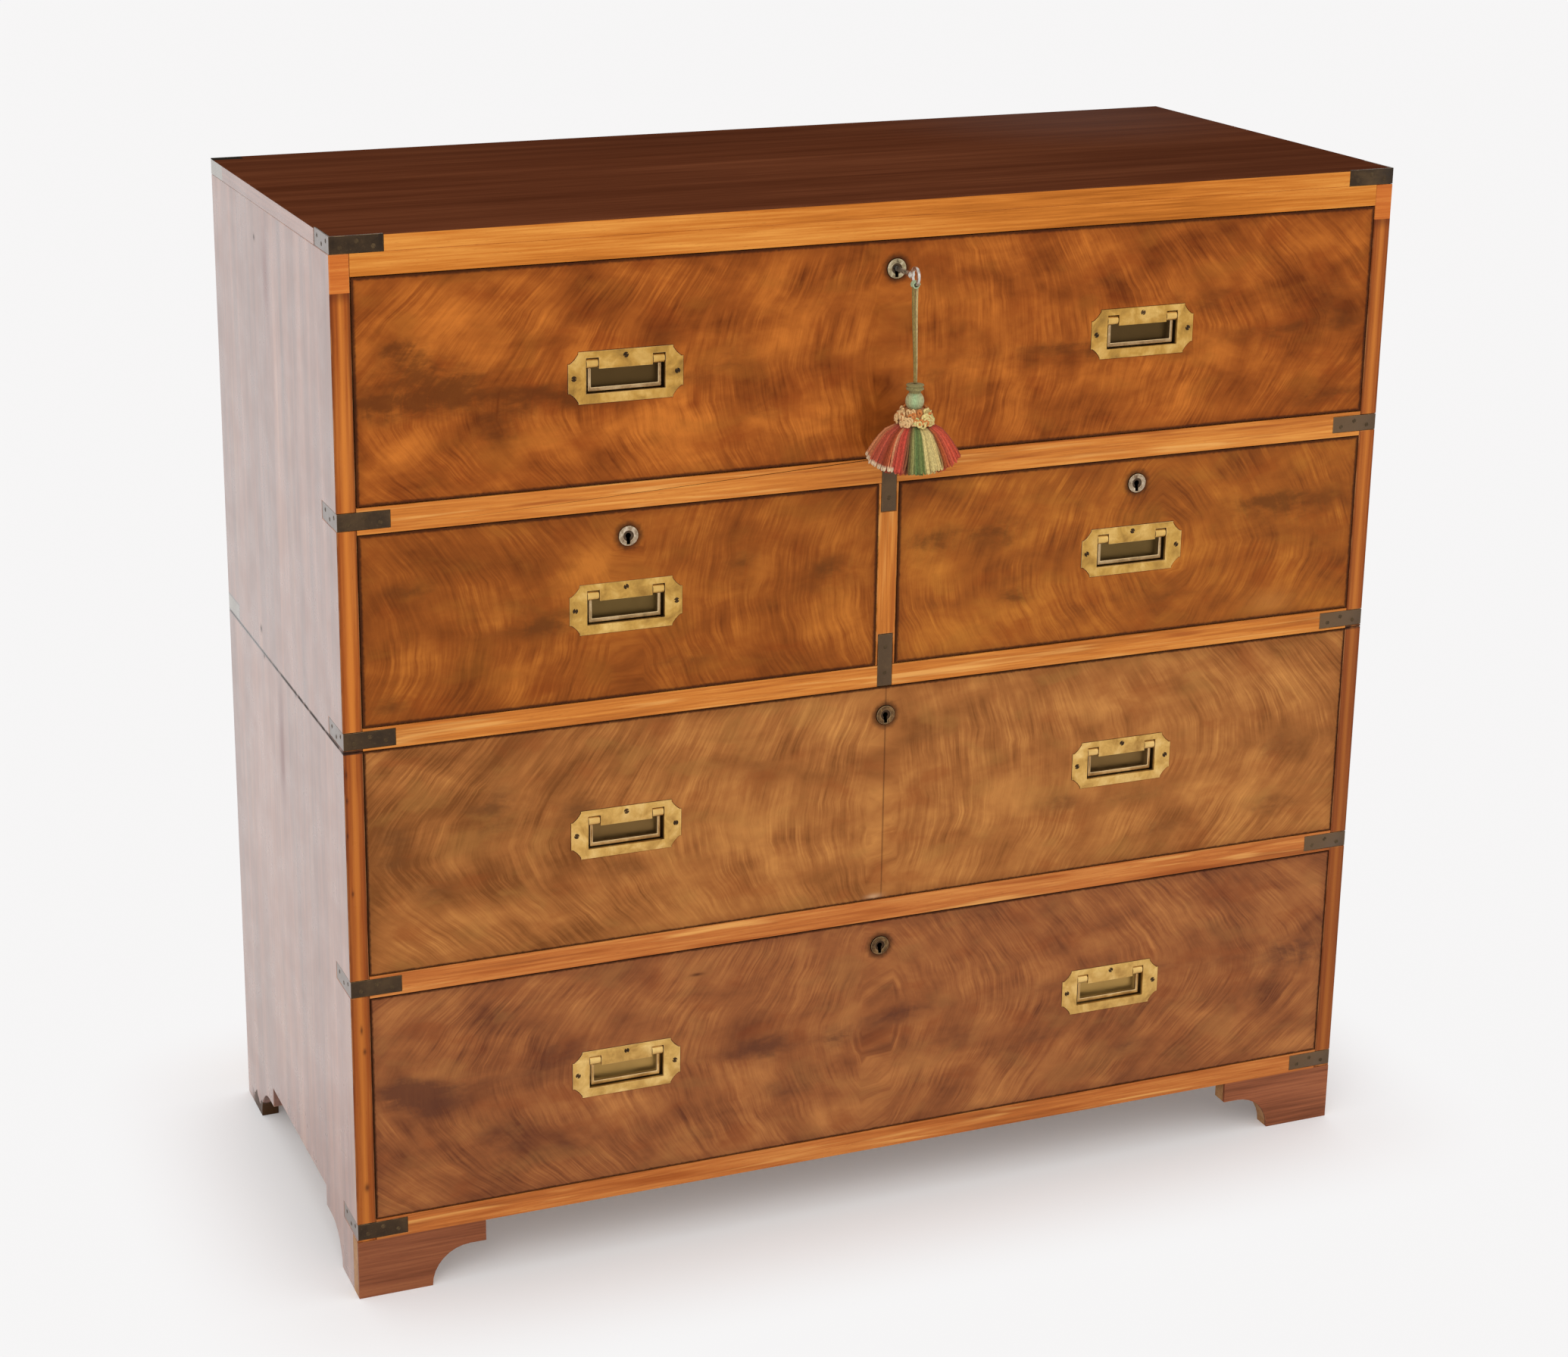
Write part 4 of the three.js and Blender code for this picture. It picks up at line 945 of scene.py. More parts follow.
# A screw head's rings as shares of its radius, and the points round each.
HEAD_RINGS = (0.0, 0.12, 0.3, 0.5, 0.7, 0.88, 1.0, 1.0)
HEAD_POINTS = 20
HEAD_SINK = 0.0003
SLOT_HALF, SLOT_DEPTH = 0.16, 0.9


def screw_head(centre, normal, radius, height, slot_turn):
    """A slotted screw head: h(r, t) = H (1 - (r/R)^3) - D where |r sin(t - turn)| < w, over a sunk rim."""
    across = np.cross((0, 0, 1), normal)
    upward = np.cross(normal, across)
    shares = np.array(HEAD_RINGS)
    turn = whole_turn(HEAD_POINTS)
    reach = (shares * radius)[:, None]
    flat = np.stack([reach * np.cos(turn), reach * np.sin(turn)], -1)
    rise = height * (1 - shares**3)[:, None] * np.ones(HEAD_POINTS)[None]
    beside = np.abs(flat[..., 0] * math.sin(slot_turn) - flat[..., 1] * math.cos(slot_turn))
    slot = np.where(beside < radius * SLOT_HALF, height * SLOT_DEPTH, 0)
    rise = rise - slot * (shares < SLOT_DEPTH)[:, None]
    rise[-1] = -HEAD_SINK
    points = np.array(centre) + flat[..., :1] * across + flat[..., 1:] * upward
    points += rise[..., None] * np.array(normal)
    rings = ring_faces(len(shares), HEAD_POINTS)[:, ::-1].tolist()
    first = list(range(HEAD_POINTS))
    last = [(len(shares) - 1) * HEAD_POINTS + k for k in first]
    return points.reshape(-1, 3), [*rings, last, first[::-1]]


STRAPS = [node for node in NODES if "strap" in node]
FORWARD = (0, -1, 0)
SIDE_SUNK = 0.0003
STRAP_LEG = 0.0495
STRAP_SCREW_TONES = ((58, 44, 30), (76, 60, 40), (104, 84, 58))
STRAP_SCREW_HEIGHT = 0.0003
STRAP_SCREW_LIFT = 0.0025


def make_straps(brass):
    """The straps with their small screws; the legs on the sides lie a little below the wood."""
    patina = aged_brass("strap_brass", brass.strap_tint)
    screws = plain_brass("strap_screw_brass", brass.strap_tint, STRAP_SCREW_TONES, edge_share=0.1)
    radius, height = brass.strap_screw, STRAP_SCREW_HEIGHT
    heads = {}
    for number, node in enumerate(STRAPS):
        piece = dress(node, patina, "aged_brass", brass.strap_edge)
        place = points_of(piece.data)
        place[:, 0] = np.clip(place[:, 0], SIDE_SUNK - HALF_WIDTH, HALF_WIDTH - SIDE_SUNK)
        piece.data.vertices.foreach_set("co", place.astype(np.float32).ravel())
        low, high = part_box(node)
        body = BODY_OF[node]
        middle = (low.z + high.z) / 2
        parts = heads.setdefault(body, [])
        if "divider" in node:
            for share in (0.25, 0.75):
                place = ((low.x + high.x) / 2, low.y, low.z + share * (high.z - low.z))
                parts.append(screw_head(place, FORWARD, radius, height, number))
            continue
        outward = -1 if "left" in node else 1
        side_x = outward * (HALF_WIDTH - SIDE_SUNK)
        for share in (0.2, 0.5, 0.8):
            reach = STRAP_LEG * share
            lift = STRAP_SCREW_LIFT * (1 if share == 0.5 else -1)
            front = (side_x - outward * reach, low.y, middle + lift)
            side = (side_x, low.y + reach, middle - lift)
            parts.append(screw_head(front, FORWARD, radius, height, number + share))
            parts.append(screw_head(side, (outward, 0, 0), radius, height, number - share))
    for body, parts in heads.items():
        new_piece(f"{body}_strap_screws", joined(parts), body, "aged_brass", screws)


HANDLE_HEIGHTS = {"first": 0.87845, "second": 0.6612, "third": 0.4409, "fourth": 0.19465}
HANDLE_X = 0.263
BRASS = {
    "first": ((146, 108, 50), (194, 148, 70), (228, 188, 110)),
    "second": ((154, 114, 52), (198, 154, 76), (232, 194, 116)),
    "third": ((168, 124, 60), (210, 166, 90), (238, 202, 130)),
    "fourth": ((172, 130, 66), (212, 170, 94), (240, 206, 132)),
}
# Bail tones, darker and greyer than the plates': painted shade in the cup.
BAILS = {
    "first": ((112, 86, 54), (164, 132, 92), (210, 184, 142)),
    "second": ((116, 92, 58), (170, 140, 98), (216, 192, 150)),
    "third": ((132, 96, 54), (182, 142, 88), (222, 188, 132)),
    "fourth": ((146, 108, 58), (196, 156, 92), (230, 196, 134)),
}
# The colour of each row's cup floor, with painted light and shade: dark on the upper rows, bright on the
# lowest.
PIT_LIGHT_AND_SHADE = {
    "first": (88, 66, 32),
    "second": (112, 88, 46),
    "third": (128, 98, 54),
    "fourth": (192, 154, 86),
}
KNUCKLE_LEVEL = 0.0085
# Cup walls, darker with depth: dirt and painted shade in the recess.
WALL_DIRT_AND_SHADE = (0.0012, 0.0045, 0.94, (40, 28, 16))
PIT_DEPTHS = (0.0098, 0.0104)
SCREW_UP, SCREW_OUT, SCREW_HEIGHT = 0.0185, 0.0495, 0.0005
SCREW_TONES = ((44, 30, 16), (62, 44, 24), (90, 66, 38))


def bail_brass(name, tint, colours, plate_colours, level):
    """The bail: brass in darker tones than the plate as painted shade in the cup, darker still deeper in
    it, with bright edges as painted highlights; above a level its knuckles take the plate's tones, edged
    dark as painted shade in their seams.
    """
    metal, colour, patches = satin_brass(name, tint, colours, edge_share=0.9)
    knuckle = metal.ramp(patches, (0.28, 0.74), metal.tinted(plate_colours[1:]))
    # painted shade on the knuckles' rounded edges, in the seams round them
    knuckle = metal.over(knuckle, (metal.times(metal.attribute("edge"), 0.75), (70, 50, 24)))
    colour = metal.over(
        colour,
        # painted shade on the deeper parts of the bail, then the knuckles in the plate's tones
        (metal.step(metal.y(), FRONT_Y + 0.0035, FRONT_Y + 0.008, 0.0, 0.7), WALL_DIRT_AND_SHADE[3]),
        (metal.step(metal.z(), level, level + 0.0005), knuckle),
    )
    return metal.finish(colour, metal.step(patches, 0.3, 0.7, 0.28, 0.42))


def make_handles(brass):
    """Eight recessed handles: cup plate, swinging bail and three slotted screws each."""
    tint = brass.tint
    screw_finish = plain_brass("handle_screw_brass", tint, SCREW_TONES, edge_share=0.1)
    plates, bails = {}, {}
    for row in BRASS:
        # the cup's floor takes its row's painted light and shade; the walls darken with dirt and painted
        # shade
        pit = (*PIT_DEPTHS, 0.8, PIT_LIGHT_AND_SHADE[row])
        plates[row] = sunk_brass(f"{row}_handle_brass", tint, BRASS[row], WALL_DIRT_AND_SHADE, pit)
        level = HANDLE_HEIGHTS[row] + KNUCKLE_LEVEL
        bails[row] = bail_brass(f"{row}_bail_brass", tint, BAILS[row], BRASS[row], level)
    for number, handle in enumerate(HANDLES):
        row, side = handle.split("_")
        plate = f"{handle}_handle_plate"
        dress(plate, plates[row], "brass", brass.plate_edge)
        dress(f"{handle}_handle_bail", bails[row], "brass", brass.bail_edge, steps=3)
        x = HANDLE_X * (-1 if side == "left" else 1)
        z = HANDLE_HEIGHTS[row]
        low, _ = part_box(plate)
        parts = []
        for k, (px, pz) in enumerate(((x - SCREW_OUT, z), (x + SCREW_OUT, z), (x, z + SCREW_UP))):
            slot_turn = 0.7 * number + 1.9 * k
            parts.append(screw_head((px, low.y, pz), FORWARD, brass.plate_screw, SCREW_HEIGHT, slot_turn))
        new_piece(f"{handle}_handle_screws", joined(parts), BODY_OF[plate], "brass", screw_finish)


RING_TONES = {
    "first": ((92, 76, 54), (168, 152, 118), (224, 212, 182)),
    "second": ((104, 78, 58), (170, 150, 124), (226, 210, 188)),
    "third": ((64, 44, 28), (108, 80, 50), (158, 122, 80)),
    "fourth": ((60, 42, 28), (104, 78, 48), (154, 118, 78)),
}
RING_DIRT = (-0.0006, 0.0001, 0.92, (58, 40, 26))
# Near black deeper in the lock, in the keyhole: painted shade.
KEYHOLE_SHADE = (0.0004, 0.002, 0.95, (18, 12, 8))


def make_locks(brass):
    """The locks with their round keyhole plates, and the throwing bolt."""
    for drawer in DRAWERS:
        row = drawer.split("_")[0]
        name = f"{drawer}_lock_brass"
        # dirt on the ring's dish, painted shade in the keyhole
        finish = sunk_brass(name, brass.tint, RING_TONES[row], RING_DIRT, KEYHOLE_SHADE, 210.0, 0.35)
        dress(f"{drawer}_lock", finish, "brass", brass.plate_edge)
    bolt = plain_brass("bolt_brass", brass.tint, BRASS["third"])
    dress("first_lock_bolt", bolt, "brass", brass.plate_edge)


KEY_TONES = ((150, 142, 130), (214, 208, 198), (246, 242, 234))


def make_key(brass):
    """The steel key, polished on its edges and dull in between."""
    metal = Finish("key_steel", brass.key_tint, Metallic=0.9)
    patches = metal.cloud(240, 4, 0.6, 0.4)
    colour = metal.ramp(patches, (0.3, 0.55, 0.75), metal.tinted(KEY_TONES))
    colour = metal.over(colour, (metal.times(metal.attribute("edge"), 0.6), (252, 248, 240)))
    metal.bump(patches, 0.00004)
    finish = metal.finish(colour, metal.step(patches, 0.3, 0.7, 0.24, 0.42))
    dress("key", finish, "steel", brass.plate_edge)


# --- cord and tassel

CORD_ROUTE = (
    (0.002, -0.245, 0.9477), (0.0021, -0.2459, 0.918), (0.0024, -0.2479, 0.888), (0.0026, -0.249, 0.8589),
)
STRAND_SIDES = 12
STRAND_REFERENCE = (0, 1, 0)
TASSEL_CENTRE = (0.0026, -0.249)
TASSEL_TOP = 0.8586
TASSEL_DROP = 0.0816


def cord_line(count):
    """Points of a smooth curve through the cord's route: cubic in each coordinate against height."""
    route = np.array(CORD_ROUTE)
    height = np.linspace(route[0, 2], route[-1, 2], count)
    fits = [np.polyfit(route[:, 2] - 0.9, route[:, k], 3) for k in (0, 1)]
    return np.stack([np.polyval(fits[0], height - 0.9), np.polyval(fits[1], height - 0.9), height], -1)


def yarn(name):
    """Yarn: the colour stored on each thread, a dye and in places painted shade, with twist marks and a
    soft sheen.
    """
    cloth = Finish(name, Specular_IOR_Level=0.08, Sheen_Weight=0.06)
    yarn_colour = cloth.node("ShaderNodeAttribute", attribute_name="yarn_colour").outputs["Color"]
    twist = cloth.cloud((900, 900, 420), 2, 0.6)
    shade = cloth.over(yarn_colour, (cloth.step(twist, 0.35, 0.7, 0.35, 0.0), (40, 26, 18)))
    cloth.bump(twist, 0.0002)
    return cloth.finish(shade, 0.85)


def put_yarn_colours(mesh, colours):
    """A colour for each point, or one for all, which the yarn finish reads."""
    layer = mesh.color_attributes.new("yarn_colour", "FLOAT_COLOR", "POINT")
    colours = np.broadcast_to(np.asarray(colours, np.float32), (len(mesh.vertices), 4))
    layer.data.foreach_set("color", colours.ravel())


def soft_piece(name, form, slot, finish, yarn_colours, *replaced):
    """A piece with a colour for each point, that moves with the tassel."""
    piece = new_piece(name, form, "tassel", slot, finish, *replaced)
    put_yarn_colours(piece.data, yarn_colours)
    return piece


BOW_FOOT = (0.002, -0.245, 0.9497)
LOOP = (4, 0.0030, 0.0016, 0.00075)


def windings(centre, count, radius, pitch, thickness):
    """Rings of cord round the bow: C + (r cos t, pitch (k + t / 2 pi - n / 2), r sin t)."""
    t = np.linspace(0, 2 * math.pi, 25)[None]
    k = np.arange(count)[:, None]
    along = pitch * (k + t / (2 * math.pi) - count / 2) + 0 * t
    ring = np.stack([radius * np.cos(t) + 0 * k, along, radius * np.sin(t) + 0 * k], -1)
    return tubes(ring + np.array(centre), thickness, 8)


def make_cord(yarns):
    """The doubled cord from the key's bow to the tassel: two strands side by side that twist a little.

    Strand k: line(s) + r(s) (side cos(w s + k pi) + lift sin(w s + k pi)), with r narrowing downwards.
    """
    line = cord_line(60)
    side, lift = frames_along(line, STRAND_REFERENCE)
    angle = np.linspace(0.1, 0.9, len(line))[:, None] + np.array([[[0]], [[math.pi]]])
    apart = np.linspace(0.0018, 0.0013, len(line))[:, None]
    paths = line + apart * (side * np.cos(angle) + lift * np.sin(angle))
    form = tubes(paths, yarns.strand, STRAND_SIDES, STRAND_REFERENCE)
    yarn_colours = np.array([[(*yarns.straw, 1)], [(*yarns.olive, 1)]])
    yarn_colours = yarn_colours * np.random.default_rng(7).uniform(0.88, 1.1, (2, len(line) * STRAND_SIDES, 1))
    finish = yarn("cord_yarn")
    piece = soft_piece("twisted_cord", form, "cord_yarn", finish, yarn_colours.reshape(-1, 4), "tassel_cord")
    knot = soft_piece("cord_loop", windings(BOW_FOOT, *LOOP), "cord_yarn", finish, tone(176, 190, 150))
    return piece, knot, line


def drop(share):
    """The height at a share of the tassel's drop."""
    return TASSEL_TOP - TASSEL_DROP * np.asarray(share, float)


# Colours round the tassel as the photograph shows them from left to right: angle in degrees, screen colour.
# All are dyes but the dark one at 49 degrees, which is painted shade in the parting there.
YARN_COLOURS = (
    (-90, 212, 140, 92), (-74, 208, 122, 78), (-68, 200, 92, 64), (-52, 202, 92, 68), (-41, 156, 66, 34),
    (-34, 202, 100, 62), (-31, 224, 164, 116), (-26, 206, 84, 64), (-14, 202, 76, 60), (-9, 150, 84, 58),
    (-4, 116, 84, 48), (0, 134, 126, 72), (3, 160, 154, 92), (8, 104, 128, 74), (14, 126, 138, 78),
    (20, 112, 128, 68), (22, 222, 200, 130), (44, 228, 200, 130), (49, 136, 70, 32), (54, 208, 104, 54),
    (62, 210, 92, 64), (76, 204, 82, 58), (90, 180, 70, 42),
)


def yarn_colour_at(angle):
    """The colour at angles round the tassel, the same on the back as on the front."""
    folded = np.degrees(np.arcsin(np.sin(angle)))
    places, *screens = zip(*YARN_COLOURS)
    colours = np.array(tones(*zip(*screens)))
    return np.stack([np.interp(folded, places, colours[:, k]) for k in range(4)], -1)


TASSEL_FACING = math.atan2(-2.61756 - TASSEL_CENTRE[1], -1.14737 - TASSEL_CENTRE[0])
SKIRT_TOP = 0.45
SKIRT_DEPTH = 0.86
PARTINGS = (-32.0, -6.0, 48.0)
PARTING_WIDTH = 3.5
# Turned forms: radius and share of the tassel's drop.
COLLAR = (
    (0.0010, 0.004), (0.0060, 0.006), (0.0080, 0.012), (0.0082, 0.022), (0.0070, 0.033),
    (0.0068, 0.040), (0.0079, 0.050), (0.0080, 0.068), (0.0064, 0.08), (0.0050, 0.086),
)
RUFF_CORE = ((0.003, 0.28), (0.0088, 0.29), (0.0125, 0.34), (0.0148, 0.41), (0.0146, 0.46), (0.004, 0.475))
SKIRT_CORE = ((0.004, 0.43), (0.0105, 0.46), (0.0200, 0.62), (0.0285, 0.78), (0.0300, 0.86), (0.006, 0.9))


def make_ruff(finish, yarns):
    """The ruff: looped threads on a dome of two lobes.

    Loop: radius R(s) (1 + a sin t) at angle A + b cos t and drop s + c sin t, with R growing downwards.
    """
    rng = np.random.default_rng(11)
    cx, cy = TASSEL_CENTRE
    count, steps = 130, 9
    turn = rng.uniform(0, 2 * math.pi, (count, 1))
    level = rng.uniform(0.30, 0.45, (count, 1))
    swing = rng.uniform(0, math.pi, (count, 1))
    t = 2 * math.pi * np.linspace(0, 1, steps)[None]
    dome = np.interp(level, [0.29, 0.34, 0.4, 0.45], [0.0100, 0.0140, 0.0168, 0.0171])
    notch = 1 - 0.16 * np.exp(-((np.degrees(np.sin(turn - TASSEL_FACING)) / 11) ** 2)) * (level > 0.36)
    outward = dome * notch * (1 + 0.05 * np.sin(t + 2 * swing))
    bend = turn + 0.15 * np.cos(t + swing) * rng.uniform(0.6, 1.2, (count, 1))
    rise = drop(level) + 0.0026 * np.sin(t + swing)
    paths = np.stack([cx + outward * np.cos(bend), cy + outward * np.sin(bend), rise], -1)
    loops = tubes(paths, yarns.loop, 6)
    radii, falls = zip(*RUFF_CORE)
    core = turned(radii, drop(falls), TASSEL_CENTRE, 32)
    right = np.sin(turn - TASSEL_FACING) > 0
    pick = rng.random((count, 1))
    base = np.where(right, tone(238, 214, 140), tone(244, 202, 142))
    base = np.where(pick < 0.2, tone(222, 138, 74), base)
    base = np.where((pick > 0.9) & right, tone(208, 208, 132), base)
    tints = np.repeat(base, steps * 6, axis=0)
    yarn_colours = np.concatenate([tints, np.tile(tone(190, 130, 78), (len(core[0]), 1))])
    return soft_piece("tassel_ruff", joined([loops, core]), "tassel_yarn", finish, yarn_colours)


def make_skirt(finish, yarns):
    """The skirt: three rows of looped threads that fan out from under the ruff, over a core darkened as
    painted shade.

    Thread: drop S0 + (E - S0) f(t) and reach R0 + (R - R0) f(t)^0.54, where f runs from 0 to 1 and back;
    E is deepest at the front and back and shallowest at both sides. Threads beside a parting bend away
    from it by q tanh(a / w) exp(-(a / v)^2) f(t), where a is the angle from the parting.
    """
    rng = np.random.default_rng(12)
    cx, cy = TASSEL_CENTRE
    rows, each, steps = 3, yarns.threads, 21
    count = rows * each
    row = np.repeat(np.arange(rows), each)[:, None]
    turn = np.tile(np.linspace(0, 2 * math.pi, each, endpoint=False), rows)[:, None]
    turn = turn + row * 0.03 + rng.normal(0, 0.018, (count, 1))
    t = np.linspace(0, 1, steps)[None]
    down = 1 - np.abs(2 * t - 1) ** 2.4
    facing = turn - TASSEL_FACING
    end = 0.835 + 0.115 * np.abs(np.cos(facing)) ** 0.8 + 0.05 * row * np.abs(np.sin(facing))
    end = np.minimum(end + 0.02 * row, 0.985) - rng.uniform(0, 0.02, (count, 1))
    reach = (0.0442 - 0.005 * np.abs(np.cos(facing))) * (1 - 0.2 * row) + rng.normal(0, 0.0005, (count, 1))
    share = SKIRT_TOP + (end - SKIRT_TOP) * down
    fan = 0.0125 - 0.002 * row + (reach - 0.0125 + 0.002 * row) * down**0.54
    spread = 0.034 * np.sin(math.pi * (t - 0.5)) * (0.35 + 0.65 * down)
    angle = turn + spread + 0.015 * np.sin(9 * share + 5 * turn)
    for parting in PARTINGS:
        apart = np.degrees(np.sin(angle - TASSEL_FACING - math.radians(parting)))
        lean = np.tanh(apart / 2.5) * np.exp(-((apart / 16) ** 2)) * (np.cos(facing) > 0)
        angle = angle + math.radians(PARTING_WIDTH) * lean * down
    paths = np.stack([cx + fan * np.cos(angle), cy + SKIRT_DEPTH * fan * np.sin(angle), drop(share)], -1)
    threads = tubes(paths, yarns.thread, 5)
    around = angle - TASSEL_FACING
    yarn_colours = yarn_colour_at(around.reshape(-1))
    yarn_colours[:, :3] *= np.repeat(rng.uniform(0.74, 1.16, count), steps)[:, None]
    left = (np.sin(around) < -0.42) & (down > 0.93) & (row == 0)
    hem = np.where(left, 0.85, 0.0).reshape(-1, 1)
    yarn_colours = yarn_colours * (1 - hem) + np.array((*yarns.hem, 1)) * hem
    radii, falls = zip(*SKIRT_CORE)
    core = turned(radii, drop(falls), TASSEL_CENTRE, 48, 24, 0.02)
    core[0][:, 1] = cy + SKIRT_DEPTH * (core[0][:, 1] - cy)
    turn_core = np.arctan2(core[0][:, 1] - cy, core[0][:, 0] - cx)
    # the core takes the threads' colours darkened, as painted shade inside the skirt
    core_shade = yarn_colour_at(turn_core - TASSEL_FACING) * np.array([0.4, 0.4, 0.4, 1])
    yarn_colours = np.concatenate([np.repeat(yarn_colours, 5, axis=0), core_shade])
    return soft_piece("tassel_skirt", joined([threads, core]), "tassel_yarn", finish, yarn_colours, "tassel")


def make_tassel(yarns):
    """Collar knot, ribbed bulb, looped ruff and a fanned skirt."""
    centre = TASSEL_CENTRE
    finish = yarn("tassel_yarn")
    radii, falls = zip(*COLLAR)
    collar = turned(radii, drop(falls), centre, 36, 12, 0.03)
    neck = turned(np.full(6, 0.0050), drop(np.linspace(0.075, 0.14, 6)), centre, 24, 8, 0.06, 500)
    knot = soft_piece("tassel_knot", joined([collar, neck]), "tassel_yarn", finish, tone(150, 138, 90))

    shares = np.linspace(0, 1, 14)
    radii = 0.001 + 0.0074 * np.sin(math.pi * (0.08 + 0.84 * shares)) ** 0.45
    bulb = turned(radii, drop(0.108 + 0.19 * shares), centre, 48, 16, 0.035)
    x, y = (bulb[0][:, k] - centre[k] for k in (0, 1))
    side = np.abs(np.sin(np.arctan2(y, x) - TASSEL_FACING))[:, None]
    yarn_colours = np.array(tone(170, 194, 144)) * (1 - side) + np.array(tone(186, 176, 130)) * side
    bulb = soft_piece("tassel_bulb", bulb, "tassel_yarn", finish, yarn_colours)
    return [knot, bulb, make_ruff(finish, yarns), make_skirt(finish, yarns)]


# --- stage

CAMERA_PLACE = (-1.14737, -2.61756, 1.47711)
# Right, up and back.
CAMERA_AXES = (
    (0.936614, -0.350362, 0.000779),
    (0.098349, 0.265045, 0.959207),
    (-0.336276, -0.898331, 0.282702),
)
CAMERA_SHIFT = (0.08830, -0.08549)
SENSOR_WIDTH = 36
FAR_END = 60
FLOOR_HALF = 14.0
MAIN_LAMP, FILL_LAMP, LAMP_AIM = (-2.4, -3.4, 3.6), (3.2, -2.6, 2.2), (0.0, 0.0, 0.5)
LAMP_SIZE = 2.6
FLOOR_FADE = 0.19


def stand(name, data, place, axes):
    """An object at a place, turned to three axes: right, up and back."""
    made = bpy.data.objects.new(name, data)
    made.matrix_world = Matrix.Translation(place) @ Matrix(axes).transposed().to_4x4()
    bpy.context.scene.collection.objects.link(made)
    return made


def make_camera(lens):
    """The camera at the photograph's angle."""
    data = bpy.data.cameras.new("view")
    data.lens = lens
    data.sensor_width = SENSOR_WIDTH
    data.sensor_fit = "HORIZONTAL"
    data.shift_x, data.shift_y = CAMERA_SHIFT
    data.clip_end = FAR_END
    bpy.context.scene.camera = stand("view", data, CAMERA_PLACE, CAMERA_AXES)


def make_lamp(name, place, power):
    """A square soft lamp that points from its place to the chest."""
    data = bpy.data.lights.new(name, "AREA")
    data.shape = "SQUARE"
    data.size = LAMP_SIZE
    data.energy = power
    back = np.array(place) - np.array(LAMP_AIM)
    back /= np.linalg.norm(back)
    right = np.cross([0, 0, 1], back)
    right /= np.linalg.norm(right)
    stand(name, data, place, (right, np.cross(back, right), back))


def make_world(colour, ambient):
    """White for camera, mirror and glass rays; a plain level for the light on the object."""
    world = bpy.data.worlds.new("studio")
    bpy.context.scene.world = world
    sky = Nodes(world)
    backdrop = sky.tree.nodes["Background"]
    sky.feed(backdrop.inputs["Color"], (*colour, 1))
    light = sky.node("ShaderNodeBackground", [(1, 1, 1, 1), ambient])
    rays = sky.node("ShaderNodeLightPath").outputs
    seen = sky.most(rays["Is Camera Ray"], sky.most(rays["Is Glossy Ray"], rays["Is Transmission Ray"]))
    both = sky.node("ShaderNodeMixShader", [seen, light.outputs[0], backdrop.outputs[0]])
    sky.feed(sky.tree.nodes["World Output"].inputs["Surface"], both.outputs[0])


def make_floor(colour):
    """A wide pale floor that keeps the chest's shadow.

    Away from the chest, what the camera sees is lifted towards the plain colour.
    """
    mesh = bpy.data.meshes.new("floor")
    corners = FLOOR_HALF * np.array([(-1, -1, 0), (1, -1, 0), (1, 1, 0), (-1, 1, 0)])
    mesh.from_pydata(corners.tolist(), [], [(0, 1, 2, 3)])
    floor = bpy.data.objects.new("floor", mesh)
    bpy.context.scene.collection.objects.link(floor)
    paper = Finish("floor_paper", Roughness=0.9, Specular_IOR_Level=0.0)
    paper.put("Base Color", (*colour, 1))
    out_x = paper.most(paper.less(paper.size(paper.x()), HALF_WIDTH), 0.0)
    out_y = paper.size(paper.less(paper.y(), (FRONT_Y + BACK_Y) / 2))
    out_y = paper.most(paper.less(out_y, (BACK_Y - FRONT_Y) / 2), 0.0)
    away = paper.math("SQRT", paper.line(out_x, out_x, paper.times(out_y, out_y)))
    lift = paper.step(away, 0.0, FLOOR_FADE, 0.15, 0.985)
    seen = paper.node("ShaderNodeLightPath").outputs["Is Camera Ray"]
    glow = paper.node("ShaderNodeEmission", {"Color": (*colour, 1), "Strength": 0.97})
    both = paper.node("ShaderNodeMixShader", [paper.times(lift, seen), paper.surface.outputs[0]])
    paper.feed(both.inputs[2], glow.outputs[0])
    paper.feed(paper.tree.nodes["Material Output"].inputs["Surface"], both.outputs[0])
    mesh.materials.append(paper.material)


# --- add-on


def number_setting(name, description, default, **more):
    """A number of 0 or more, as a setting."""
    return bpy.props.FloatProperty(name=name, description=description, default=default, min=0.0, **more)


def length_setting(name, description, default):
    """A length in metres, as a setting."""
    return number_setting(name, description, default, precision=5, subtype="DISTANCE", unit="LENGTH")


def colour_setting(name, description, default=(1.0, 1.0, 1.0)):
    """A colour, as a setting."""
    return bpy.props.FloatVectorProperty(
        name=name, description=description, default=default[:3], min=0.0, max=2.0, subtype="COLOR"
    )


class ChestWood(bpy.types.PropertyGroup):
    """Edges and tints of the wood"""

    edge: length_setting("Board edge", "Width of the rounded edges of sides and rails", 0.0007)
    front_edge: length_setting("Front edge", "Width of the rounded edges of fronts and backs", 0.0006)
    top_edge: length_setting("Top edge", "Width of the rounded edges of the top", 0.0009)
    veneer_tint: colour_setting("Veneer tint", "Multiplies the colours of the drawer fronts")
    rail_tint: colour_setting("Rail tint", "Multiplies the colours of rails and divider")
    side_tint: colour_setting("Side tint", "Multiplies the colours of sides and stiles")
    top_tint: colour_setting("Top tint", "Multiplies the colours of the top")
    plain_tint: colour_setting("Plain wood tint", "Multiplies the colours of backs and drawer boxes")


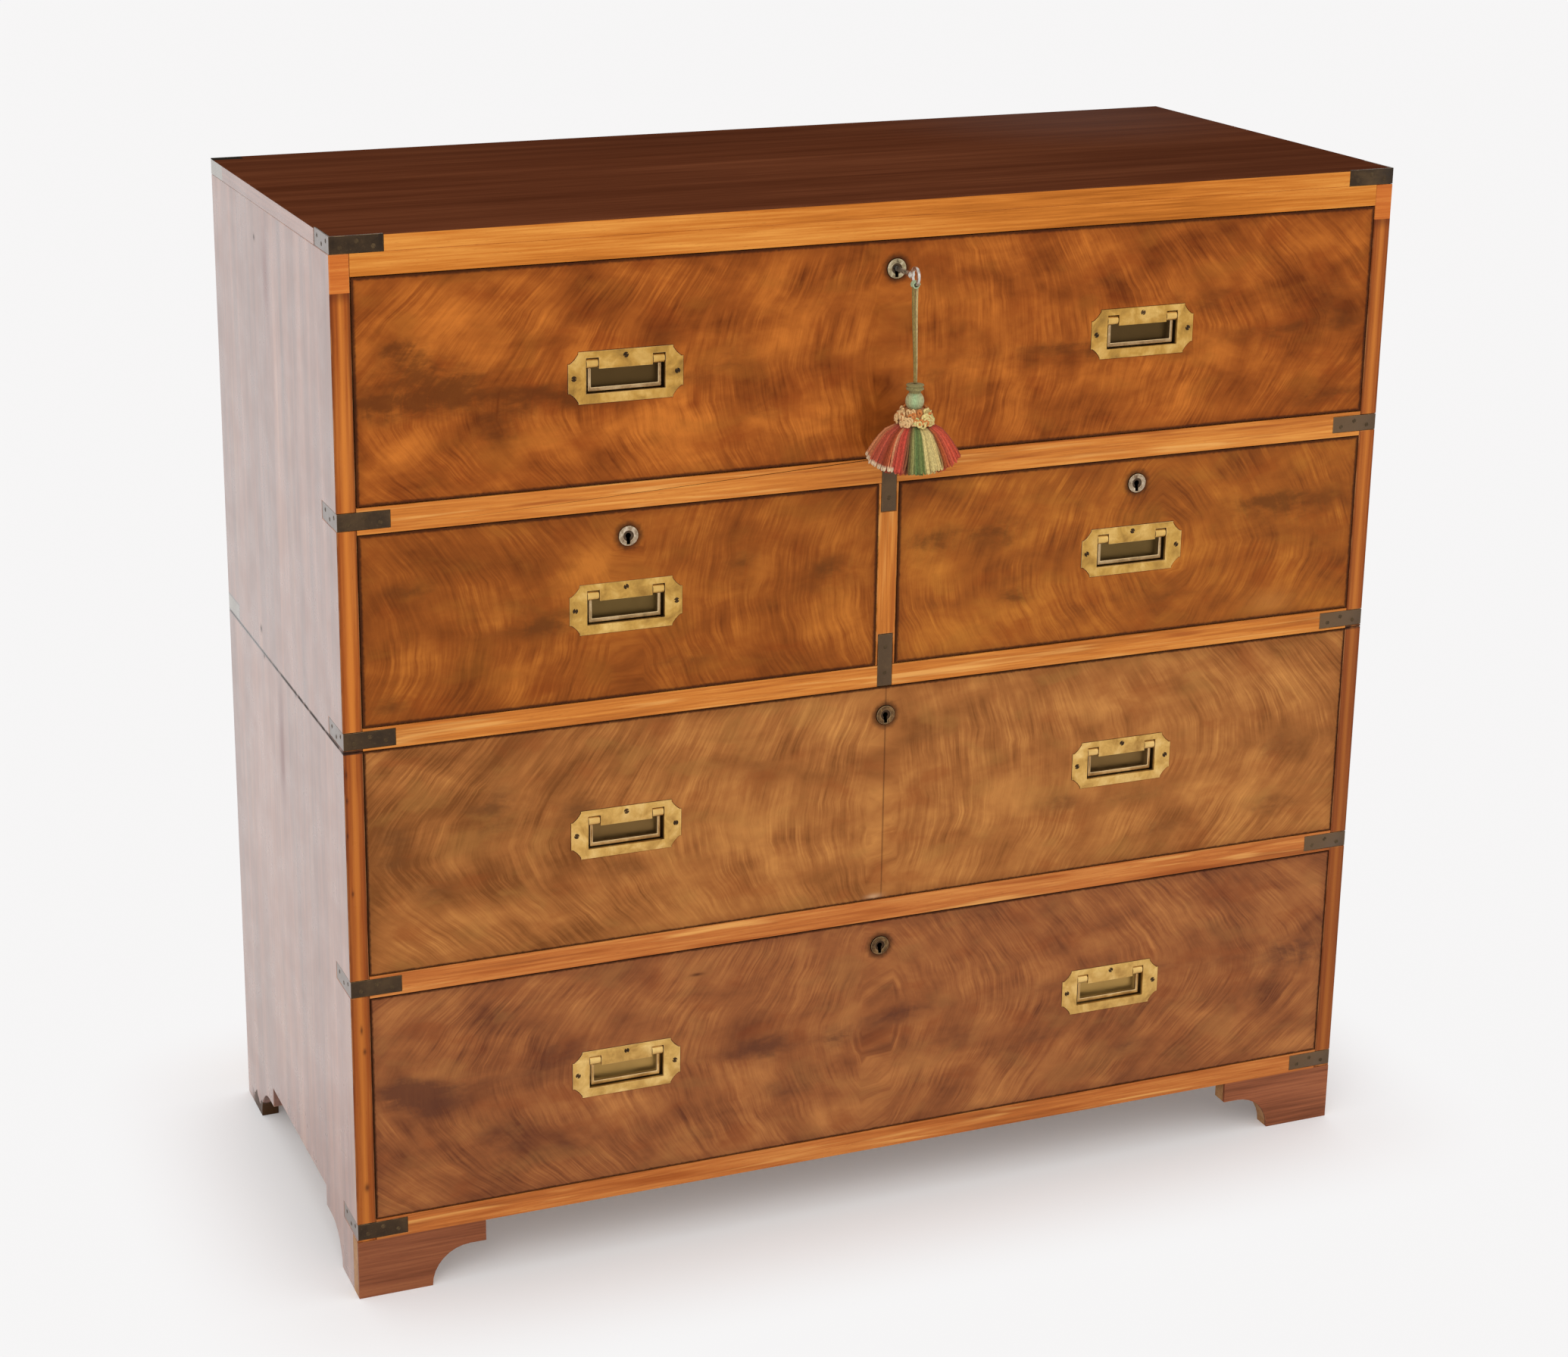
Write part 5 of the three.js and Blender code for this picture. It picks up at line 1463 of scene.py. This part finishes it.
class ChestBrass(bpy.types.PropertyGroup):
    """Edges, screws and tints of the metal"""

    strap_edge: length_setting("Strap edge", "Width of the rounded edges of the straps", 0.00035)
    plate_edge: length_setting("Plate edge", "Width of the rounded edges of plates, locks and key", 0.0003)
    bail_edge: length_setting("Bail edge", "Width of the rounded edges of the bails", 0.0007)
    strap_screw: length_setting("Strap screw", "Radius of the straps' screw heads", 0.0022)
    plate_screw: length_setting("Plate screw", "Radius of the plates' screw heads", 0.0026)
    tint: colour_setting("Brass tint", "Multiplies the colours of handles, locks and bolt")
    strap_tint: colour_setting("Strap tint", "Multiplies the colours of the straps")
    key_tint: colour_setting("Key tint", "Multiplies the colours of the key")


class ChestYarns(bpy.types.PropertyGroup):
    """Yarns of the cord and the tassel"""

    strand: length_setting("Strand", "Radius of each of the cord's two strands", 0.00145)
    loop: length_setting("Ruff thread", "Radius of the ruff's threads", 0.00112)
    thread: length_setting("Skirt thread", "Radius of the skirt's threads", 0.00105)
    threads: bpy.props.IntProperty(
        name="Threads", description="Threads in a row of the skirt", default=78, min=12
    )
    straw: colour_setting("Pale strand", "Colour of the cord's pale strand", tone(196, 172, 118))
    olive: colour_setting("Dark strand", "Colour of the cord's dark strand", tone(146, 124, 70))
    hem: colour_setting("Hem", "Colour of the pale ends on the skirt's left", tone(236, 214, 176))


class ChestLight(bpy.types.PropertyGroup):
    """Light, floor and lens of the stage"""

    lens: number_setting("Lens", "Focal length", 67.474, subtype="DISTANCE_CAMERA")
    ambient: number_setting("Ambient", "Level of the even light", 0.95, subtype="FACTOR")
    lamp: number_setting("Lamp", "Power of the main soft lamp", 36.0, unit="POWER")
    fill: number_setting("Fill", "Power of the second soft lamp", 8.0, unit="POWER")
    floor: colour_setting("Floor", "Colour of the floor", tone(250, 249, 249))
    backdrop: colour_setting("Backdrop", "Colour behind the chest", tone(248, 246, 245))


class ChestStage(bpy.types.Operator):
    """Makes the camera, the lamps, the world and the floor"""

    bl_idname = "chest.stage"
    bl_label = "Camera, light and floor"

    def execute(self, context):
        light = context.scene.chest_light
        make_camera(light.lens)
        make_world(light.backdrop, light.ambient)
        make_lamp("main_lamp", MAIN_LAMP, light.lamp)
        make_lamp("fill_lamp", FILL_LAMP, light.fill)
        make_floor(light.floor)
        return {"FINISHED"}


class ChestCord(bpy.types.Operator):
    """Makes the cord on the key and the tassel that hangs from it"""

    bl_idname = "chest.cord"
    bl_label = "Cord and tassel"

    def execute(self, context):
        yarns = context.scene.chest_yarns
        piece, knot, line = make_cord(yarns)
        tassel = make_tassel(yarns)
        return {"FINISHED"}


class ChestKey(bpy.types.Operator):
    """Makes the steel key"""

    bl_idname = "chest.key"
    bl_label = "Key"

    def execute(self, context):
        make_key(context.scene.chest_brass)
        return {"FINISHED"}


class ChestCarcass(bpy.types.Operator):
    """Makes the sides, rails, top and backs of both halves"""

    bl_idname = "chest.carcass"
    bl_label = "Carcass"

    def execute(self, context):
        make_carcass(context.scene.chest_wood)
        return {"FINISHED"}


class ChestFronts(bpy.types.Operator):
    """Makes the veneered drawer fronts"""

    bl_idname = "chest.fronts"
    bl_label = "Drawer fronts"

    def execute(self, context):
        make_fronts(context.scene.chest_wood)
        return {"FINISHED"}


class ChestBoxes(bpy.types.Operator):
    """Makes the plain drawer boxes"""

    bl_idname = "chest.boxes"
    bl_label = "Drawer boxes"

    def execute(self, context):
        make_boxes(context.scene.chest_wood)
        return {"FINISHED"}


class ChestStraps(bpy.types.Operator):
    """Makes the straps and their screws"""

    bl_idname = "chest.straps"
    bl_label = "Straps"

    def execute(self, context):
        make_straps(context.scene.chest_brass)
        return {"FINISHED"}


class ChestHandles(bpy.types.Operator):
    """Makes the recessed handles and their screws"""

    bl_idname = "chest.handles"
    bl_label = "Handles"

    def execute(self, context):
        make_handles(context.scene.chest_brass)
        return {"FINISHED"}


class ChestLocks(bpy.types.Operator):
    """Makes the locks and the bolt"""

    bl_idname = "chest.locks"
    bl_label = "Locks"

    def execute(self, context):
        make_locks(context.scene.chest_brass)
        return {"FINISHED"}


MAKERS = (
    ChestStage, ChestCord, ChestKey, ChestCarcass, ChestFronts,
    ChestBoxes, ChestStraps, ChestHandles, ChestLocks,
)
SETTINGS = {
    "chest_wood": ChestWood,
    "chest_brass": ChestBrass,
    "chest_yarns": ChestYarns,
    "chest_light": ChestLight,
}


class ChestPanel(bpy.types.Panel):
    """Lists the settings and the makers of the chest's pieces"""

    bl_idname = "VIEW3D_PT_campaign_chest"
    bl_label = "Campaign chest"
    bl_space_type = "VIEW_3D"
    bl_region_type = "UI"
    bl_category = "Campaign chest"

    def draw(self, context):
        for group, settings in SETTINGS.items():
            box = self.layout.box()
            for name in settings.__annotations__:
                box.prop(getattr(context.scene, group), name)
        for maker in MAKERS:
            self.layout.operator(maker.bl_idname)


CLASSES = (*SETTINGS.values(), *MAKERS, ChestPanel)


def register():
    """Adds the classes and the settings to Blender."""
    for each in CLASSES:
        bpy.utils.register_class(each)
    for group, settings in SETTINGS.items():
        setattr(bpy.types.Scene, group, bpy.props.PointerProperty(type=settings))


def unregister():
    """Takes the settings and the classes out again."""
    for group in SETTINGS:
        delattr(bpy.types.Scene, group)
    for each in reversed(CLASSES):
        bpy.utils.unregister_class(each)


def main():
    register()
    bpy.context.scene.view_settings.view_transform = "Standard"
    for maker in MAKERS:
        group, action = maker.bl_idname.split(".")
        getattr(getattr(bpy.ops, group), action)()


if __name__ == "__main__":
    main()
